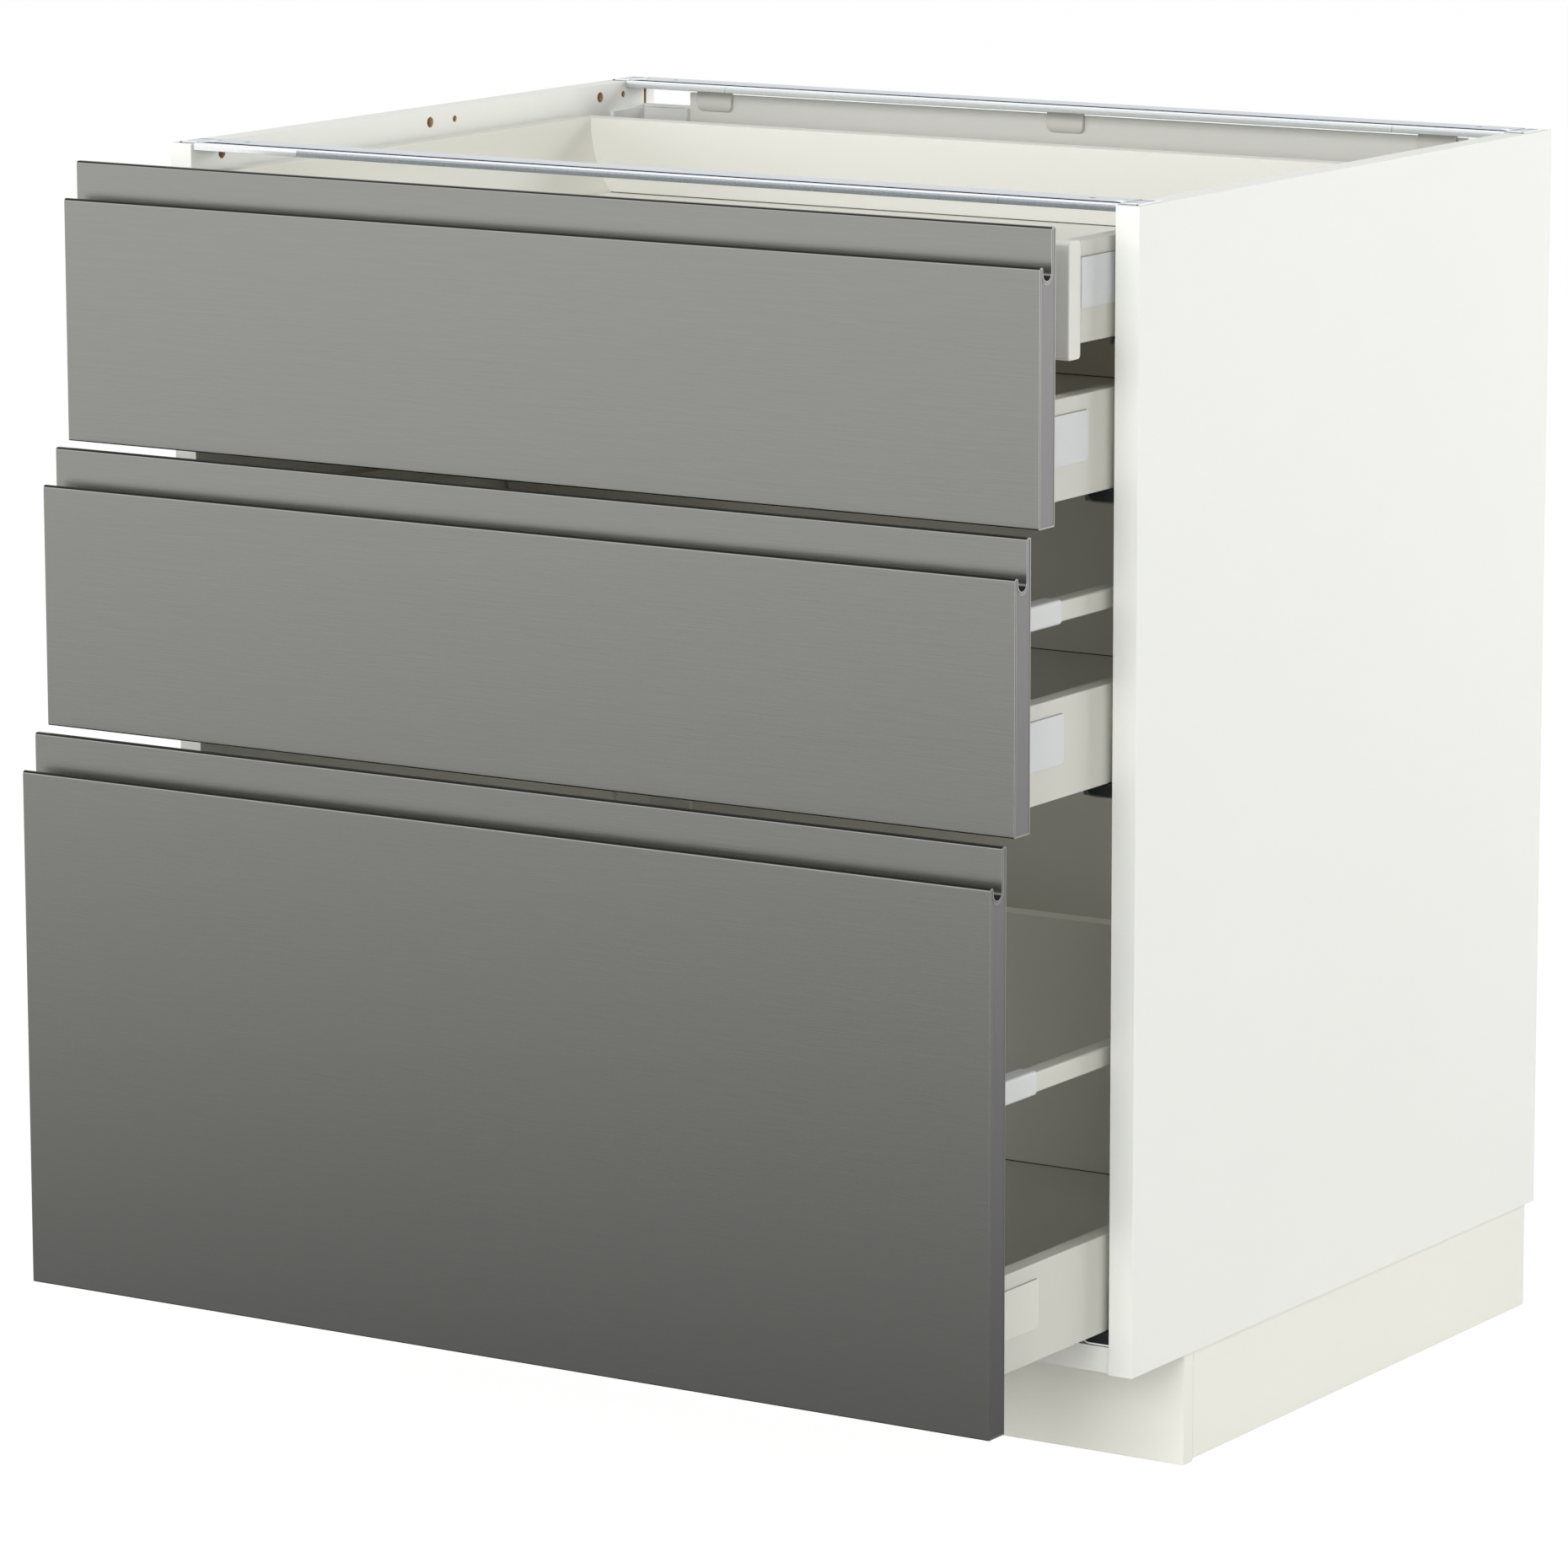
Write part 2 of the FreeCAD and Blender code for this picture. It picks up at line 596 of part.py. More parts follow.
def back_panel_clips():
    """Clips that hang from the rear rail and hold the top edge of the back."""
    top = D["clip_hang"]
    curve = D["clip_round"]
    thick = D["clip_thick"]
    outline = [(-thick, curve, (curve - thick, curve, 1)), (curve - thick, 0), (0, 0), (0, top),
               (-thick, top)]
    level = CABINET_TOP - D["clip_hang"]
    outer_edge = INNER - D["connector_long"] + D["tongue_root"] + D["clip_play"]
    middle = prism("clip_middle", "YZ_Plane", outline, D["clip_wide"],
                   (-(D["clip_wide"] / 2), BACK_FRONT, level))
    outer = prism("clip_outer", "YZ_Plane", outline, D["clip_wide"],
                  (outer_edge, BACK_FRONT, level))
    return group("back_panel_clips", [middle, outer, mirrored("clip_outer_left", outer)])


def rail_outline():
    """Section of a top rail: front flange with rounded lip, groove, flat top, rear flange.

    Across is the depth behind the front of the rail, up is the height above its flat top.
    """
    sheet = D["rail_sheet"]
    curve = D["nose_round"]
    lip = -D["nose_low"]
    groove_front = D["nose_wide"]
    groove_rear = groove_front + D["slot_wide"]
    groove = -D["slot_deep"]
    rear = D["rail_depth"]
    return [
        (0, -D["nose_high"]), (0, lip - curve, (curve, lip - curve, -1)), (curve, lip),
        (groove_front, lip), (groove_front, groove), (groove_rear, groove), (groove_rear, 0),
        (rear, 0), (rear, -D["rail_high"]), (rear - sheet, -D["rail_high"]),
        (rear - sheet, -sheet), (groove_rear + sheet, -sheet),
        (groove_rear + sheet, groove - sheet), (groove_front - sheet, groove - sheet),
        (groove_front - sheet, lip - sheet), (sheet, lip - sheet), (sheet, -D["nose_high"]),
    ]


def rail_depths():
    """Depth of the front of the front rail and of the rear rail."""
    return {"front": D["rail_front_gap"],
            "rear": D["cabinet_depth"] - D["rail_rear_gap"] - D["rail_depth"]}


def top_rails():
    """Two galvanised cross rails that the worktop rests on."""
    half = INNER - D["connector_long"]
    rails = []
    for name, depth in rail_depths().items():
        rails.append(prism("top_rail_" + name, "YZ_Plane", rail_outline(), half * 2,
                           (-half, depth, RAIL_TOP)))
    return rails


def rail_end_connectors():
    """End pieces that carry the rails on the top edges of the side panels."""
    start = INNER - D["connector_long"]
    sheet = D["rail_sheet"]
    margin = D["cut_margin"]
    flat_front = D["nose_wide"] + D["slot_wide"]
    flat_middle = (flat_front + D["rail_depth"]) / 2
    tongue_front = flat_front + sheet + D["tongue_side_gap"]
    tongue_rear = D["rail_depth"] - sheet - D["tongue_side_gap"]
    pieces = []
    for name, depth in rail_depths().items():
        shell = prism("connector_shell_" + name, "YZ_Plane", rail_outline(),
                      D["connector_long"], (start, depth, RAIL_TOP))
        tab = box("connector_tab_" + name, (INNER, depth + D["tab_offset"], CABINET_TOP),
                  (D["tab_long"], D["tab_wide"], sheet))
        tongue = box("connector_tongue_" + name,
                     (start - D["tongue_long"], depth + tongue_front, CABINET_TOP - sheet),
                     (D["tongue_long"] + D["tongue_root"], tongue_rear - tongue_front, sheet))
        solid = fuse("connector_solid_" + name, [shell, tab, tongue])
        hole = rod("worktop_hole_" + name,
                   (INNER - D["worktop_hole_inset"], depth + flat_middle, CABINET_TOP - margin),
                   D["worktop_hole_radius"], sheet + margin * 2, "z")
        pieces.append(cut("connector_" + name, solid, [hole]))
    return pair("rail_end_connectors", group("connectors_right", pieces))


# Legs, feet and plinth


def leg_places():
    """Names and places of the four legs."""
    return {"front_left": (-LEG_X, LEG_FRONT), "front_right": (LEG_X, LEG_FRONT),
            "rear_left": (-LEG_X, LEG_REAR), "rear_right": (LEG_X, LEG_REAR)}


def legs():
    """Tubes under the bottom panel that take the threaded stems of the feet."""
    bore = D["stem_radius"] + D["stem_play"]
    bore_top = D["stem_top"] + D["stem_room"]
    tube_top = D["base_height"] - D["leg_plate_thick"]
    outline = [(bore, D["leg_bottom"]), (D["leg_radius"], D["leg_bottom"]),
               (D["leg_radius"], tube_top), (0, tube_top), (0, bore_top), (bore, bore_top)]
    pieces = []
    for name, (x, depth) in leg_places().items():
        tube = turned("leg_tube_" + name, outline, (x, depth, 0))
        plate = box("leg_plate_" + name,
                    (x - D["leg_plate"] / 2, depth - D["leg_plate"] / 2, tube_top),
                    (D["leg_plate"], D["leg_plate"], D["leg_plate_thick"]))
        pieces.append(fuse("leg_" + name, [tube, plate]))
    return group("legs", pieces)


def feet():
    """Screw-in feet: a disc, a collar that stops against the leg, and a stem."""
    outline = [(0, 0), (D["foot_radius"], 0), (D["foot_radius"], D["foot_rim"]),
               (D["collar_radius"], D["foot_dome"]), (D["collar_radius"], D["leg_bottom"]),
               (D["stem_radius"], D["leg_bottom"]), (D["stem_radius"], D["stem_top"]),
               (0, D["stem_top"])]
    return [turned("foot_" + name, outline, (x, depth, 0))
            for name, (x, depth) in leg_places().items()]


def plinth():
    """Three plinth boards: one across the front and one on each side behind it."""
    half = HALF - D["plinth_side_inset"]
    front = box("plinth_front", (-half, D["plinth_setback"], 0),
                (half * 2, D["plinth_thick"], D["base_height"]))
    side_start = D["plinth_setback"] + D["plinth_thick"]
    side_end = D["cabinet_depth"] - D["plinth_rear_gap"]
    right = box("plinth_right", (half - D["plinth_thick"], side_start, D["plinth_side_lift"]),
                (D["plinth_thick"], side_end - side_start,
                 D["base_height"] - D["plinth_side_lift"]))
    return [front, right, mirrored("plinth_left", right)]


def clamp_outline():
    """Section of a plinth clip: a plate on the board and two prongs beside the leg."""
    inside = D["leg_radius"] + D["clamp_play"]
    outside = inside + D["clamp_sheet"]
    half = D["clamp_long"] / 2
    reach = D["leg_inset"] + D["clamp_past"]
    return [(-half, 0), (half, 0), (half, D["clamp_sheet"]), (outside, D["clamp_sheet"]),
            (outside, reach), (inside, reach), (inside, D["clamp_sheet"]),
            (-inside, D["clamp_sheet"]), (-inside, reach), (-outside, reach),
            (-outside, D["clamp_sheet"]), (-half, D["clamp_sheet"])]


def plinth_clips():
    """Clips that hold the plinth boards to the legs."""
    straight = clamp_outline()
    sideways = [(-across, along) for along, across in straight]
    board_face = D["plinth_setback"] + D["plinth_thick"]
    side_face = HALF - D["plinth_side_inset"] - D["plinth_thick"]
    side_level = (D["base_height"] - D["leg_plate_thick"] - D["clamp_top_gap"]
                  - D["clamp_high"])
    front_level = side_level - D["clamp_step_gap"] - D["clamp_high"]
    clips = [prism("clamp_front", "XY_Plane", straight, D["clamp_high"],
                   (LEG_X, board_face, front_level))]
    for name, depth in (("near", LEG_FRONT), ("far", LEG_REAR)):
        clips.append(prism("clamp_side_" + name, "XY_Plane", sideways, D["clamp_high"],
                           (side_face, depth, side_level)))
    return pair("plinth_clips", group("clamps_right", clips))


# Runners


def fixed_runner_outline():
    """Section of the fixed profile, folded from one sheet.

    Across is X. Up is the height above the lower edge of the drawer side. The web stands
    on the side panel, the flange runs inwards, and the fold at its end stands up again to
    the shelf that the middle profile runs on.
    """
    sheet = D["runner_sheet"]
    low = -D["runner_drop"]
    edge = INNER - D["runner_flange"]
    shelf = D["runner_shelf"]
    keeper = MIDDLE_IN + D["middle_wide"] + D["slide_gap"]
    keeper_top = shelf + D["runner_keeper"]
    hook = keeper - D["runner_hook"]
    return [
        (edge, low), (INNER, low), (INNER, D["runner_web_top"]),
        (INNER - sheet, D["runner_web_top"]), (INNER - sheet, low + sheet),
        (edge + sheet, low + sheet), (edge + sheet, shelf - sheet),
        (keeper + sheet, shelf - sheet), (keeper + sheet, keeper_top), (hook, keeper_top),
        (hook, keeper_top - sheet), (keeper, keeper_top - sheet), (keeper, shelf), (edge, shelf),
    ]


def middle_runner_outline():
    """Section of the middle profile: two flanges and a web."""
    sheet = D["runner_sheet"]
    left = MIDDLE_IN
    right = left + D["middle_wide"]
    web_left = left + (D["middle_wide"] - sheet) / 2
    web_right = web_left + sheet
    return [
        (left, MIDDLE_LOW), (right, MIDDLE_LOW), (right, MIDDLE_LOW + sheet),
        (web_right, MIDDLE_LOW + sheet), (web_right, MIDDLE_TOP - sheet),
        (right, MIDDLE_TOP - sheet), (right, MIDDLE_TOP), (left, MIDDLE_TOP),
        (left, MIDDLE_TOP - sheet), (web_left, MIDDLE_TOP - sheet),
        (web_left, MIDDLE_LOW + sheet), (left, MIDDLE_LOW + sheet),
    ]


def carrier_outline():
    """Section of the drawer's own profile, which lies on the middle one."""
    sheet = D["runner_sheet"]
    outside = DRAWER_HALF - D["side_sheet"]
    inside = MIDDLE_IN - D["slide_gap"]
    lip_top = MIDDLE_TOP - sheet - D["slide_gap"]
    return [
        (inside - sheet, lip_top - sheet), (inside + D["runner_hook"], lip_top - sheet),
        (inside + D["runner_hook"], lip_top), (inside, lip_top),
        (inside, CARRIER_TOP - sheet), (outside - sheet, CARRIER_TOP - sheet),
        (outside - sheet, D["carrier_foot"]), (outside, D["carrier_foot"]),
        (outside, CARRIER_TOP), (inside - sheet, CARRIER_TOP),
    ]


def fixed_runners():
    """Fixed profiles with their screws, front guides and dampers, four on each side."""
    profiles = []
    guides = []
    dampers = []
    damper_start = RUNNER_LONG - D["damper_long"] - D["damper_end_gap"]
    damper_x = INNER - D["runner_flange"] / 2 - D["damper_offset"]
    damper_up = D["runner_sheet"] + D["damper_radius"] - D["runner_drop"]
    margin = D["cut_margin"]
    top = -D["guide_play"]
    low = -D["runner_drop"]
    edge = INNER - D["guide_wide"]
    curve = D["guide_round"]
    guide_outline = [(edge + curve, low), (INNER, low), (INNER, top), (edge, top),
                     (edge, low + curve, (edge + curve, low + curve, 1))]
    for name in DRAWERS:
        depth, level = runner_place(name)
        blank = prism("runner_blank_" + name, "XZ_Plane", fixed_runner_outline(),
                      RUNNER_LONG, (0, depth, level))
        holes = runner_holes(D["screw_radius"] + D["hole_play"],
                             INNER - D["runner_sheet"] - margin,
                             D["runner_sheet"] + margin * 2, [name], "web_hole")
        profiles.append(cut("runner_fixed_" + name, blank, holes))
        guides.append(prism("guide_" + name, "XZ_Plane", guide_outline, D["runner_start"],
                            (0, depth - D["runner_start"], level)))
        dampers.append(rod("damper_" + name,
                           (damper_x, depth + damper_start, level + damper_up),
                           D["damper_radius"], D["damper_long"], "y"))
    return [pair("runners_fixed", group("runners_right", profiles)),
            pair("runner_front_guides", group("guides_right", guides)),
            pair("runner_dampers", group("dampers_right", dampers))]


def runner_screws():
    """Flat-headed screws that hold the fixed profiles to the side panels."""
    web = INNER - D["runner_sheet"]
    heads = runner_holes(D["screw_head_radius"], web - D["screw_head_thick"],
                         D["screw_head_thick"], DRAWERS, "screw_head")
    shanks = runner_holes(D["screw_radius"], web, D["runner_sheet"] + D["screw_long"],
                          DRAWERS, "screw_shank")
    screws = [fuse(head.Label.replace("head", "whole"), [head, shank])
              for head, shank in zip(heads, shanks)]
    return pair("runner_screws", group("screws_right", screws))


def middle_runners():
    """A pair of middle profiles for each drawer, half as far out as the drawer."""
    nodes = []
    for name in DRAWERS:
        depth, level = runner_place(name)
        pulled = DRAWERS[name].opening / 2
        right = prism("middle_" + name, "XZ_Plane", middle_runner_outline(),
                      RUNNER_LONG - D["middle_short"],
                      (0, depth + D["middle_start"] - pulled, level))
        nodes.append(pair("runner_middle_" + name, right))
    return nodes


# Drawers


def side_outline():
    """Section of a drawer side: a hollow wall with a coved inner face.

    The inner face drops from the ledge, curves inwards and reaches the drawer floor. The
    centre of that curve lies inside the drawer, level with the start of the curve.
    """
    sheet = D["side_sheet"]
    outer = DRAWER_HALF
    top = D["side_high"]
    ledge = outer - D["side_ledge"]
    start = top - D["side_lip"]
    drop = start - DRAWER_FLOOR_TOP
    inwards = ledge - SIDE_FLOOR_X
    radius = (inwards * inwards + drop * drop) / (inwards * 2)
    centre = ledge - radius
    outer_radius = radius + sheet
    foot = centre + root(outer_radius * outer_radius - drop * drop)
    return [
        (outer, 0), (outer, top), (ledge, top), (ledge, start, (centre, start, -1)),
        (SIDE_FLOOR_X, DRAWER_FLOOR_TOP), (SIDE_FLOOR_X, sheet),
        (SIDE_FLOOR_X - D["side_foot"], sheet), (SIDE_FLOOR_X - D["side_foot"], 0), (foot, 0),
        (foot, DRAWER_FLOOR_TOP, (centre, start, 1)), (ledge + sheet, start),
        (ledge + sheet, top - sheet), (outer - sheet, top - sheet), (outer - sheet, sheet),
        (outer - D["side_return"], sheet), (outer - D["side_return"], 0),
    ]


def front_outline(high):
    """Section of a drawer front with the finger groove along its top.

    Across is the depth from the front's rear face, negative towards the face. Up is the
    height above its lower edge.
    """
    face = -D["front_thick"]
    groove_rear = -D["front_plate"]
    groove_front = groove_rear - D["groove_wide"]
    lip_radius = (groove_front - face) / 2
    lip_start = high - D["lip_drop"] - lip_radius
    floor_radius = D["groove_wide"] / 2
    floor_start = high - D["groove_drop"] + floor_radius
    return [
        (0, 0), (0, high), (groove_rear, high),
        (groove_rear, floor_start, (groove_rear - floor_radius, floor_start, -1)),
        (groove_front, floor_start),
        (groove_front, lip_start, (groove_front - lip_radius, lip_start, 1)),
        (face, lip_start), (face, 0),
    ]


def inner_front_outline():
    """Section of the inner drawer's front, with rounded edges."""
    curve = D["inner_front_round"]
    face = -D["inner_front_thick"]
    high = D["inner_front_high"]
    return [
        (-curve, 0, (-curve, curve, 1)), (0, curve), (0, high - curve, (-curve, high - curve, 1)),
        (-curve, high), (face + curve, high, (face + curve, high - curve, 1)),
        (face, high - curve), (face, curve, (face + curve, curve, 1)), (face + curve, 0),
    ]


def drawer_front(name):
    """Front of a drawer, at the height it has on the closed cabinet."""
    depth, level = drawer_place(name)
    label = "drawer_%s_front" % name
    if name == "inner":
        return prism(label, "YZ_Plane", inner_front_outline(), DRAWER_HALF * 2,
                     (-DRAWER_HALF, depth, level - D["inner_front_below"]))
    high = LARGE_FRONT if name == "high" else D["small_front_high"]
    return prism(label, "YZ_Plane", front_outline(high), FRONT_HALF * 2,
                 (-FRONT_HALF, depth, FRONT_EDGES[name]))


def drawer_back(name):
    """Back board of a drawer, cut out at its lower corners for the runners."""
    depth, level = drawer_place(name)
    high = DRAWERS[name].back_high
    edge = DRAWER_HALF - D["drawer_back_play"]
    shoulder = CARRIER_TOP + D["runner_notch_play"]
    low = D["side_sheet"]
    outline = [(-SIDE_FLOOR_X, low), (SIDE_FLOOR_X, low), (SIDE_FLOOR_X, shoulder),
               (edge, shoulder), (edge, high), (-edge, high), (-edge, shoulder),
               (-SIDE_FLOOR_X, shoulder)]
    return prism("drawer_%s_back" % name, "XZ_Plane", outline, D["drawer_back_thick"],
                 (0, depth + SIDE_LONG, level))


def drawer_fittings(name):
    """The drawer's runner profiles and the angle brackets behind its front."""
    depth, level = drawer_place(name)
    outside = DRAWER_HALF - D["side_sheet"]
    carrier_long = SIDE_LONG - D["carrier_start"] - D["carrier_end_gap"]
    carrier = prism("carrier_" + name, "XZ_Plane", carrier_outline(), carrier_long,
                    (0, depth + D["carrier_start"], level))
    sheet = D["fixing_sheet"]
    angle = [(outside - D["fixing_wide"], 0), (outside, 0), (outside, D["fixing_long"]),
             (outside - sheet, D["fixing_long"]), (outside - sheet, sheet),
             (outside - D["fixing_wide"], sheet)]
    bracket = prism("fixing_" + name, "XY_Plane", angle, D["fixing_high"],
                    (0, depth, level + D["fixing_low"]))
    return pair("drawer_%s_fittings" % name, group("fittings_right_" + name, [carrier, bracket]))


def cover_caps(name):
    """Caps over the fixing of the front, one on the outside of each drawer side."""
    depth, level = drawer_place(name)
    curve = D["cap_round"]
    long = D["cap_long"]
    high = D["cap_high"]
    outline = [(0, 0), (long - curve, 0, (long - curve, curve, 1)), (long, curve),
               (long, high - curve, (long - curve, high - curve, 1)), (long - curve, high),
               (0, high)]
    right = prism("cap_" + name, "YZ_Plane", outline, D["cap_thick"],
                  (DRAWER_HALF, depth, level + D["cap_low"]))
    return pair("drawer_%s_caps" % name, right)


def railings(name):
    """Rails above the sides of a deep drawer, each with a sleeve on its front end."""
    depth, level = drawer_place(name)
    wide = D["railing_wide"]
    tall = D["railing_tall"]
    outer = DRAWER_HALF - D["railing_inset"]
    low = level + DRAWERS[name].back_high - tall
    rail = box("railing_" + name, (outer - wide, depth, low), (wide, SIDE_LONG, tall))
    core = box("sleeve_core_" + name, (outer - wide, depth, low),
               (wide, D["bracket_long"], tall))
    shell = box("sleeve_shell_" + name,
                (outer - wide - D["bracket_proud"], depth, low - D["bracket_wall"]),
                (wide + D["bracket_proud"] * 2, D["bracket_long"],
                 tall + D["bracket_wall"] * 2))
    sleeve = cut("sleeve_" + name, shell, [core])
    return [pair("drawer_%s_side_rails" % name, rail),
            pair("drawer_%s_rail_brackets" % name, sleeve)]


def drawer(name):
    """All the pieces of one drawer."""
    depth, level = drawer_place(name)
    right = prism("drawer_%s_side_right" % name, "XZ_Plane", side_outline(), SIDE_LONG,
                  (0, depth, level))
    floor = box("drawer_%s_bottom" % name, (-SIDE_FLOOR_X, depth, level + D["side_sheet"]),
                (SIDE_FLOOR_X * 2, SIDE_LONG, D["floor_thick"]))
    pieces = [drawer_front(name), right, mirrored("drawer_%s_side_left" % name, right), floor,
              drawer_back(name), drawer_fittings(name), cover_caps(name)]
    if name in DEEP_DRAWERS:
        pieces += railings(name)
    return pieces


def build():
    """Makes every node of the part."""
    nodes = side_panels() + [bottom_panel()] + board_joints()
    nodes += [back_panel(), back_corner_profiles(), back_panel_clips()]
    nodes += top_rails() + [rail_end_connectors()]
    nodes += [legs()] + feet() + plinth() + [plinth_clips()]
    nodes += fixed_runners() + [runner_screws()] + middle_runners()
    for name in DRAWERS:
        nodes += drawer(name)
    return nodes


def check(nodes):
    """Stops if any object failed or any node has no sound shape."""
    for thing in doc.Objects:
        if "Invalid" in thing.State or "Error" in thing.State:
            raise RuntimeError("%s could not be made" % thing.Label)
    for node in nodes:
        shape = node.Shape
        if shape.isNull() or not shape.isValid() or not shape.Solids:
            raise RuntimeError("%s has no sound shape" % node.Label)


def write(nodes):
    """Writes one file for each node."""
    for node in nodes:
        node.Shape.exportStep(os.path.join("parts", node.Label + ".step"))
    print("wrote", len(nodes), "nodes with", sum(len(node.Shape.Solids) for node in nodes),
          "solids")


NODES = build()
doc.recompute()
check(NODES)
write(NODES)
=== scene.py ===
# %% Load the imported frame
import math

import bmesh
import bpy
import numpy as np
from mathutils import Matrix, Vector


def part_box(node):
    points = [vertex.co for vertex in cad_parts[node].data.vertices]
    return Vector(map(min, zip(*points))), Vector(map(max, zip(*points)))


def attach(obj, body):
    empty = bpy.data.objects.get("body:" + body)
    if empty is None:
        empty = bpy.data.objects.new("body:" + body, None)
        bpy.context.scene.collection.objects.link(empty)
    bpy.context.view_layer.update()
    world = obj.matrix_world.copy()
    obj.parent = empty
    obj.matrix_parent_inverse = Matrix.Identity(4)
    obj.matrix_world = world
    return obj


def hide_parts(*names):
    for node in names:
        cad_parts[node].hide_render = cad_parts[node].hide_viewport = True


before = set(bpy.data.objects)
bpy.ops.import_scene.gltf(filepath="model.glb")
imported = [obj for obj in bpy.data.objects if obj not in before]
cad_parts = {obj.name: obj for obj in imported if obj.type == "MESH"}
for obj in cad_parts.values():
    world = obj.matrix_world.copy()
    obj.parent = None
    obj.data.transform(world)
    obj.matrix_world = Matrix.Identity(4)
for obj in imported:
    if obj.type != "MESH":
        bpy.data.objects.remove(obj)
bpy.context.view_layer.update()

MM = 0.001

# %% [markdown]
# The camera. The photograph was taken with a long lens from the right, a little above the
# cabinet. The place of the camera was worked out from the corners of the cabinet, whose
# sizes are known. The real lens was shifted to keep upright lines parallel. Here the
# camera is turned down instead, so that views from other sides stay centred.

# %% The camera
PHOTO_PIXELS = 1860
CAMERA_SPOT = Vector((2.8835, -4.53375, 1.4296))
CAMERA_YAW = math.radians(32.56)
CAMERA_PITCH = math.radians(-10.65)
CAMERA_ROLL = math.radians(0.11)
FOCAL_PIXELS = 8975
SENSOR = 36


def placed(name, data):
    """An object that holds a mesh, a lamp or a camera, put into the scene."""
    obj = bpy.data.objects.new(name, data)
    bpy.context.scene.collection.objects.link(obj)
    return obj


def add_camera():
    """A camera with its axes worked out from yaw, pitch and roll.

    Forward is (-sin yaw cos pitch, cos yaw cos pitch, sin pitch), right lies level, and up
    is right times forward. The roll turns right and up about forward.
    """
    forward = Vector((-math.sin(CAMERA_YAW) * math.cos(CAMERA_PITCH),
                      math.cos(CAMERA_YAW) * math.cos(CAMERA_PITCH), math.sin(CAMERA_PITCH)))
    right = Vector((math.cos(CAMERA_YAW), math.sin(CAMERA_YAW), 0))
    up = right.cross(forward)
    turn = Matrix.Rotation(CAMERA_ROLL, 3, forward)
    right, up = turn @ right, turn @ up
    data = bpy.data.cameras.new("camera")
    data.sensor_width = SENSOR
    data.lens = FOCAL_PIXELS / PHOTO_PIXELS * SENSOR
    camera = placed("camera", data)
    camera.matrix_world = (Matrix.Translation(CAMERA_SPOT)
                           @ Matrix((right, up, -forward)).transposed().to_4x4())
    bpy.context.scene.camera = camera
    return camera


print("lens:", round(add_camera().data.lens, 1), "mm")

# %% [markdown]
# Most pieces of a cabinet are boards, folded sheets and drawn profiles: one section that is
# carried along a straight line. So one function rounds the corners of a section, and one
# carries it along an axis. A small bevel then softens the cut ends, because an edge without
# a radius never catches the light.

# %% Sections and how they are carried along
ARC_STEPS = 5
NO_RADIUS = 1e-6
NEARLY_STRAIGHT = 0.999999
SOFT_ANGLE = math.radians(38)
# The axes of a section's two numbers, and the one that it is carried along
AXES = {"x": (1, 2, 0), "y": (0, 2, 1), "z": (0, 1, 2)}


def rectangle(start, end, radius=0):
    """Corners (across, up, radius) of a rectangle, anticlockwise from the lower left.

    The radius is one number, or four in the order of the corners.
    """
    (left, low), (right, high) = start, end
    return list(zip((left, right, right, left), (low, low, high, high),
                    np.broadcast_to(radius, 4)))


def mirrored(corners, way):
    """Corners as they are for way 1, or turned over to the left side for way -1."""
    return [(way * across, up, radius) for across, up, radius in corners]


def rounded(corners):
    """Ring of points round a section with corners (across, up, radius).

    At a corner whose two sides meet at the angle T, the arc starts and ends at a distance
    radius / tan(T / 2) along the sides. Its centre lies on the bisector at radius /
    sin(T / 2). The points between turn evenly: v(s) = (sin((1 - s) w) v0 + sin(s w) v1) /
    sin(w) with w = pi - T. A corner without a radius stays one point.
    """
    data = np.array(corners, float)
    point, radius = data[:, :2], np.maximum(data[:, 2], NO_RADIUS)
    back = np.roll(point, 1, 0) - point
    ahead = np.roll(point, -1, 0) - point
    back /= np.linalg.norm(back, axis=1, keepdims=True)
    ahead /= np.linalg.norm(ahead, axis=1, keepdims=True)
    cosine = np.clip((back * ahead).sum(1), -NEARLY_STRAIGHT, NEARLY_STRAIGHT)
    angle = np.arccos(cosine)
    reach = (radius / np.tan(angle / 2))[:, None]
    bisector = back + ahead
    bisector /= np.linalg.norm(bisector, axis=1, keepdims=True)
    centre = point + bisector * (radius / np.sin(angle / 2))[:, None]
    first = point + back * reach - centre
    last = point + ahead * reach - centre
    sweep = (math.pi - angle)[:, None, None]
    share = np.linspace(0, 1, ARC_STEPS)[None, :, None]
    arc = (np.sin((1 - share) * sweep) * first[:, None]
           + np.sin(share * sweep) * last[:, None]) / np.sin(sweep)
    ring = centre[:, None] + arc
    keep = np.ones(ring.shape[:2], bool)
    keep[data[:, 2] <= 0, 1:] = False
    return ring[keep]


def turning_area(ring):
    """Twice the area inside a ring: above zero where the ring runs anticlockwise."""
    after = np.roll(ring, -1, 0)
    return np.sum(ring[:, 0] * after[:, 1] - after[:, 0] * ring[:, 1])


def inset(ring, distance):
    """A ring moved inwards everywhere by the same distance.

    Each point moves along the sum of the normals of its two sides, divided by one plus
    their product, which keeps both sides parallel.
    """
    side = np.roll(ring, -1, 0) - ring
    side /= np.linalg.norm(side, axis=1, keepdims=True)
    normal = np.stack([-side[:, 1], side[:, 0]], 1) * np.sign(turning_area(ring))
    before = np.roll(normal, 1, 0)
    share = 1 + (normal * before).sum(1, keepdims=True)
    return ring + (normal + before) / share * distance


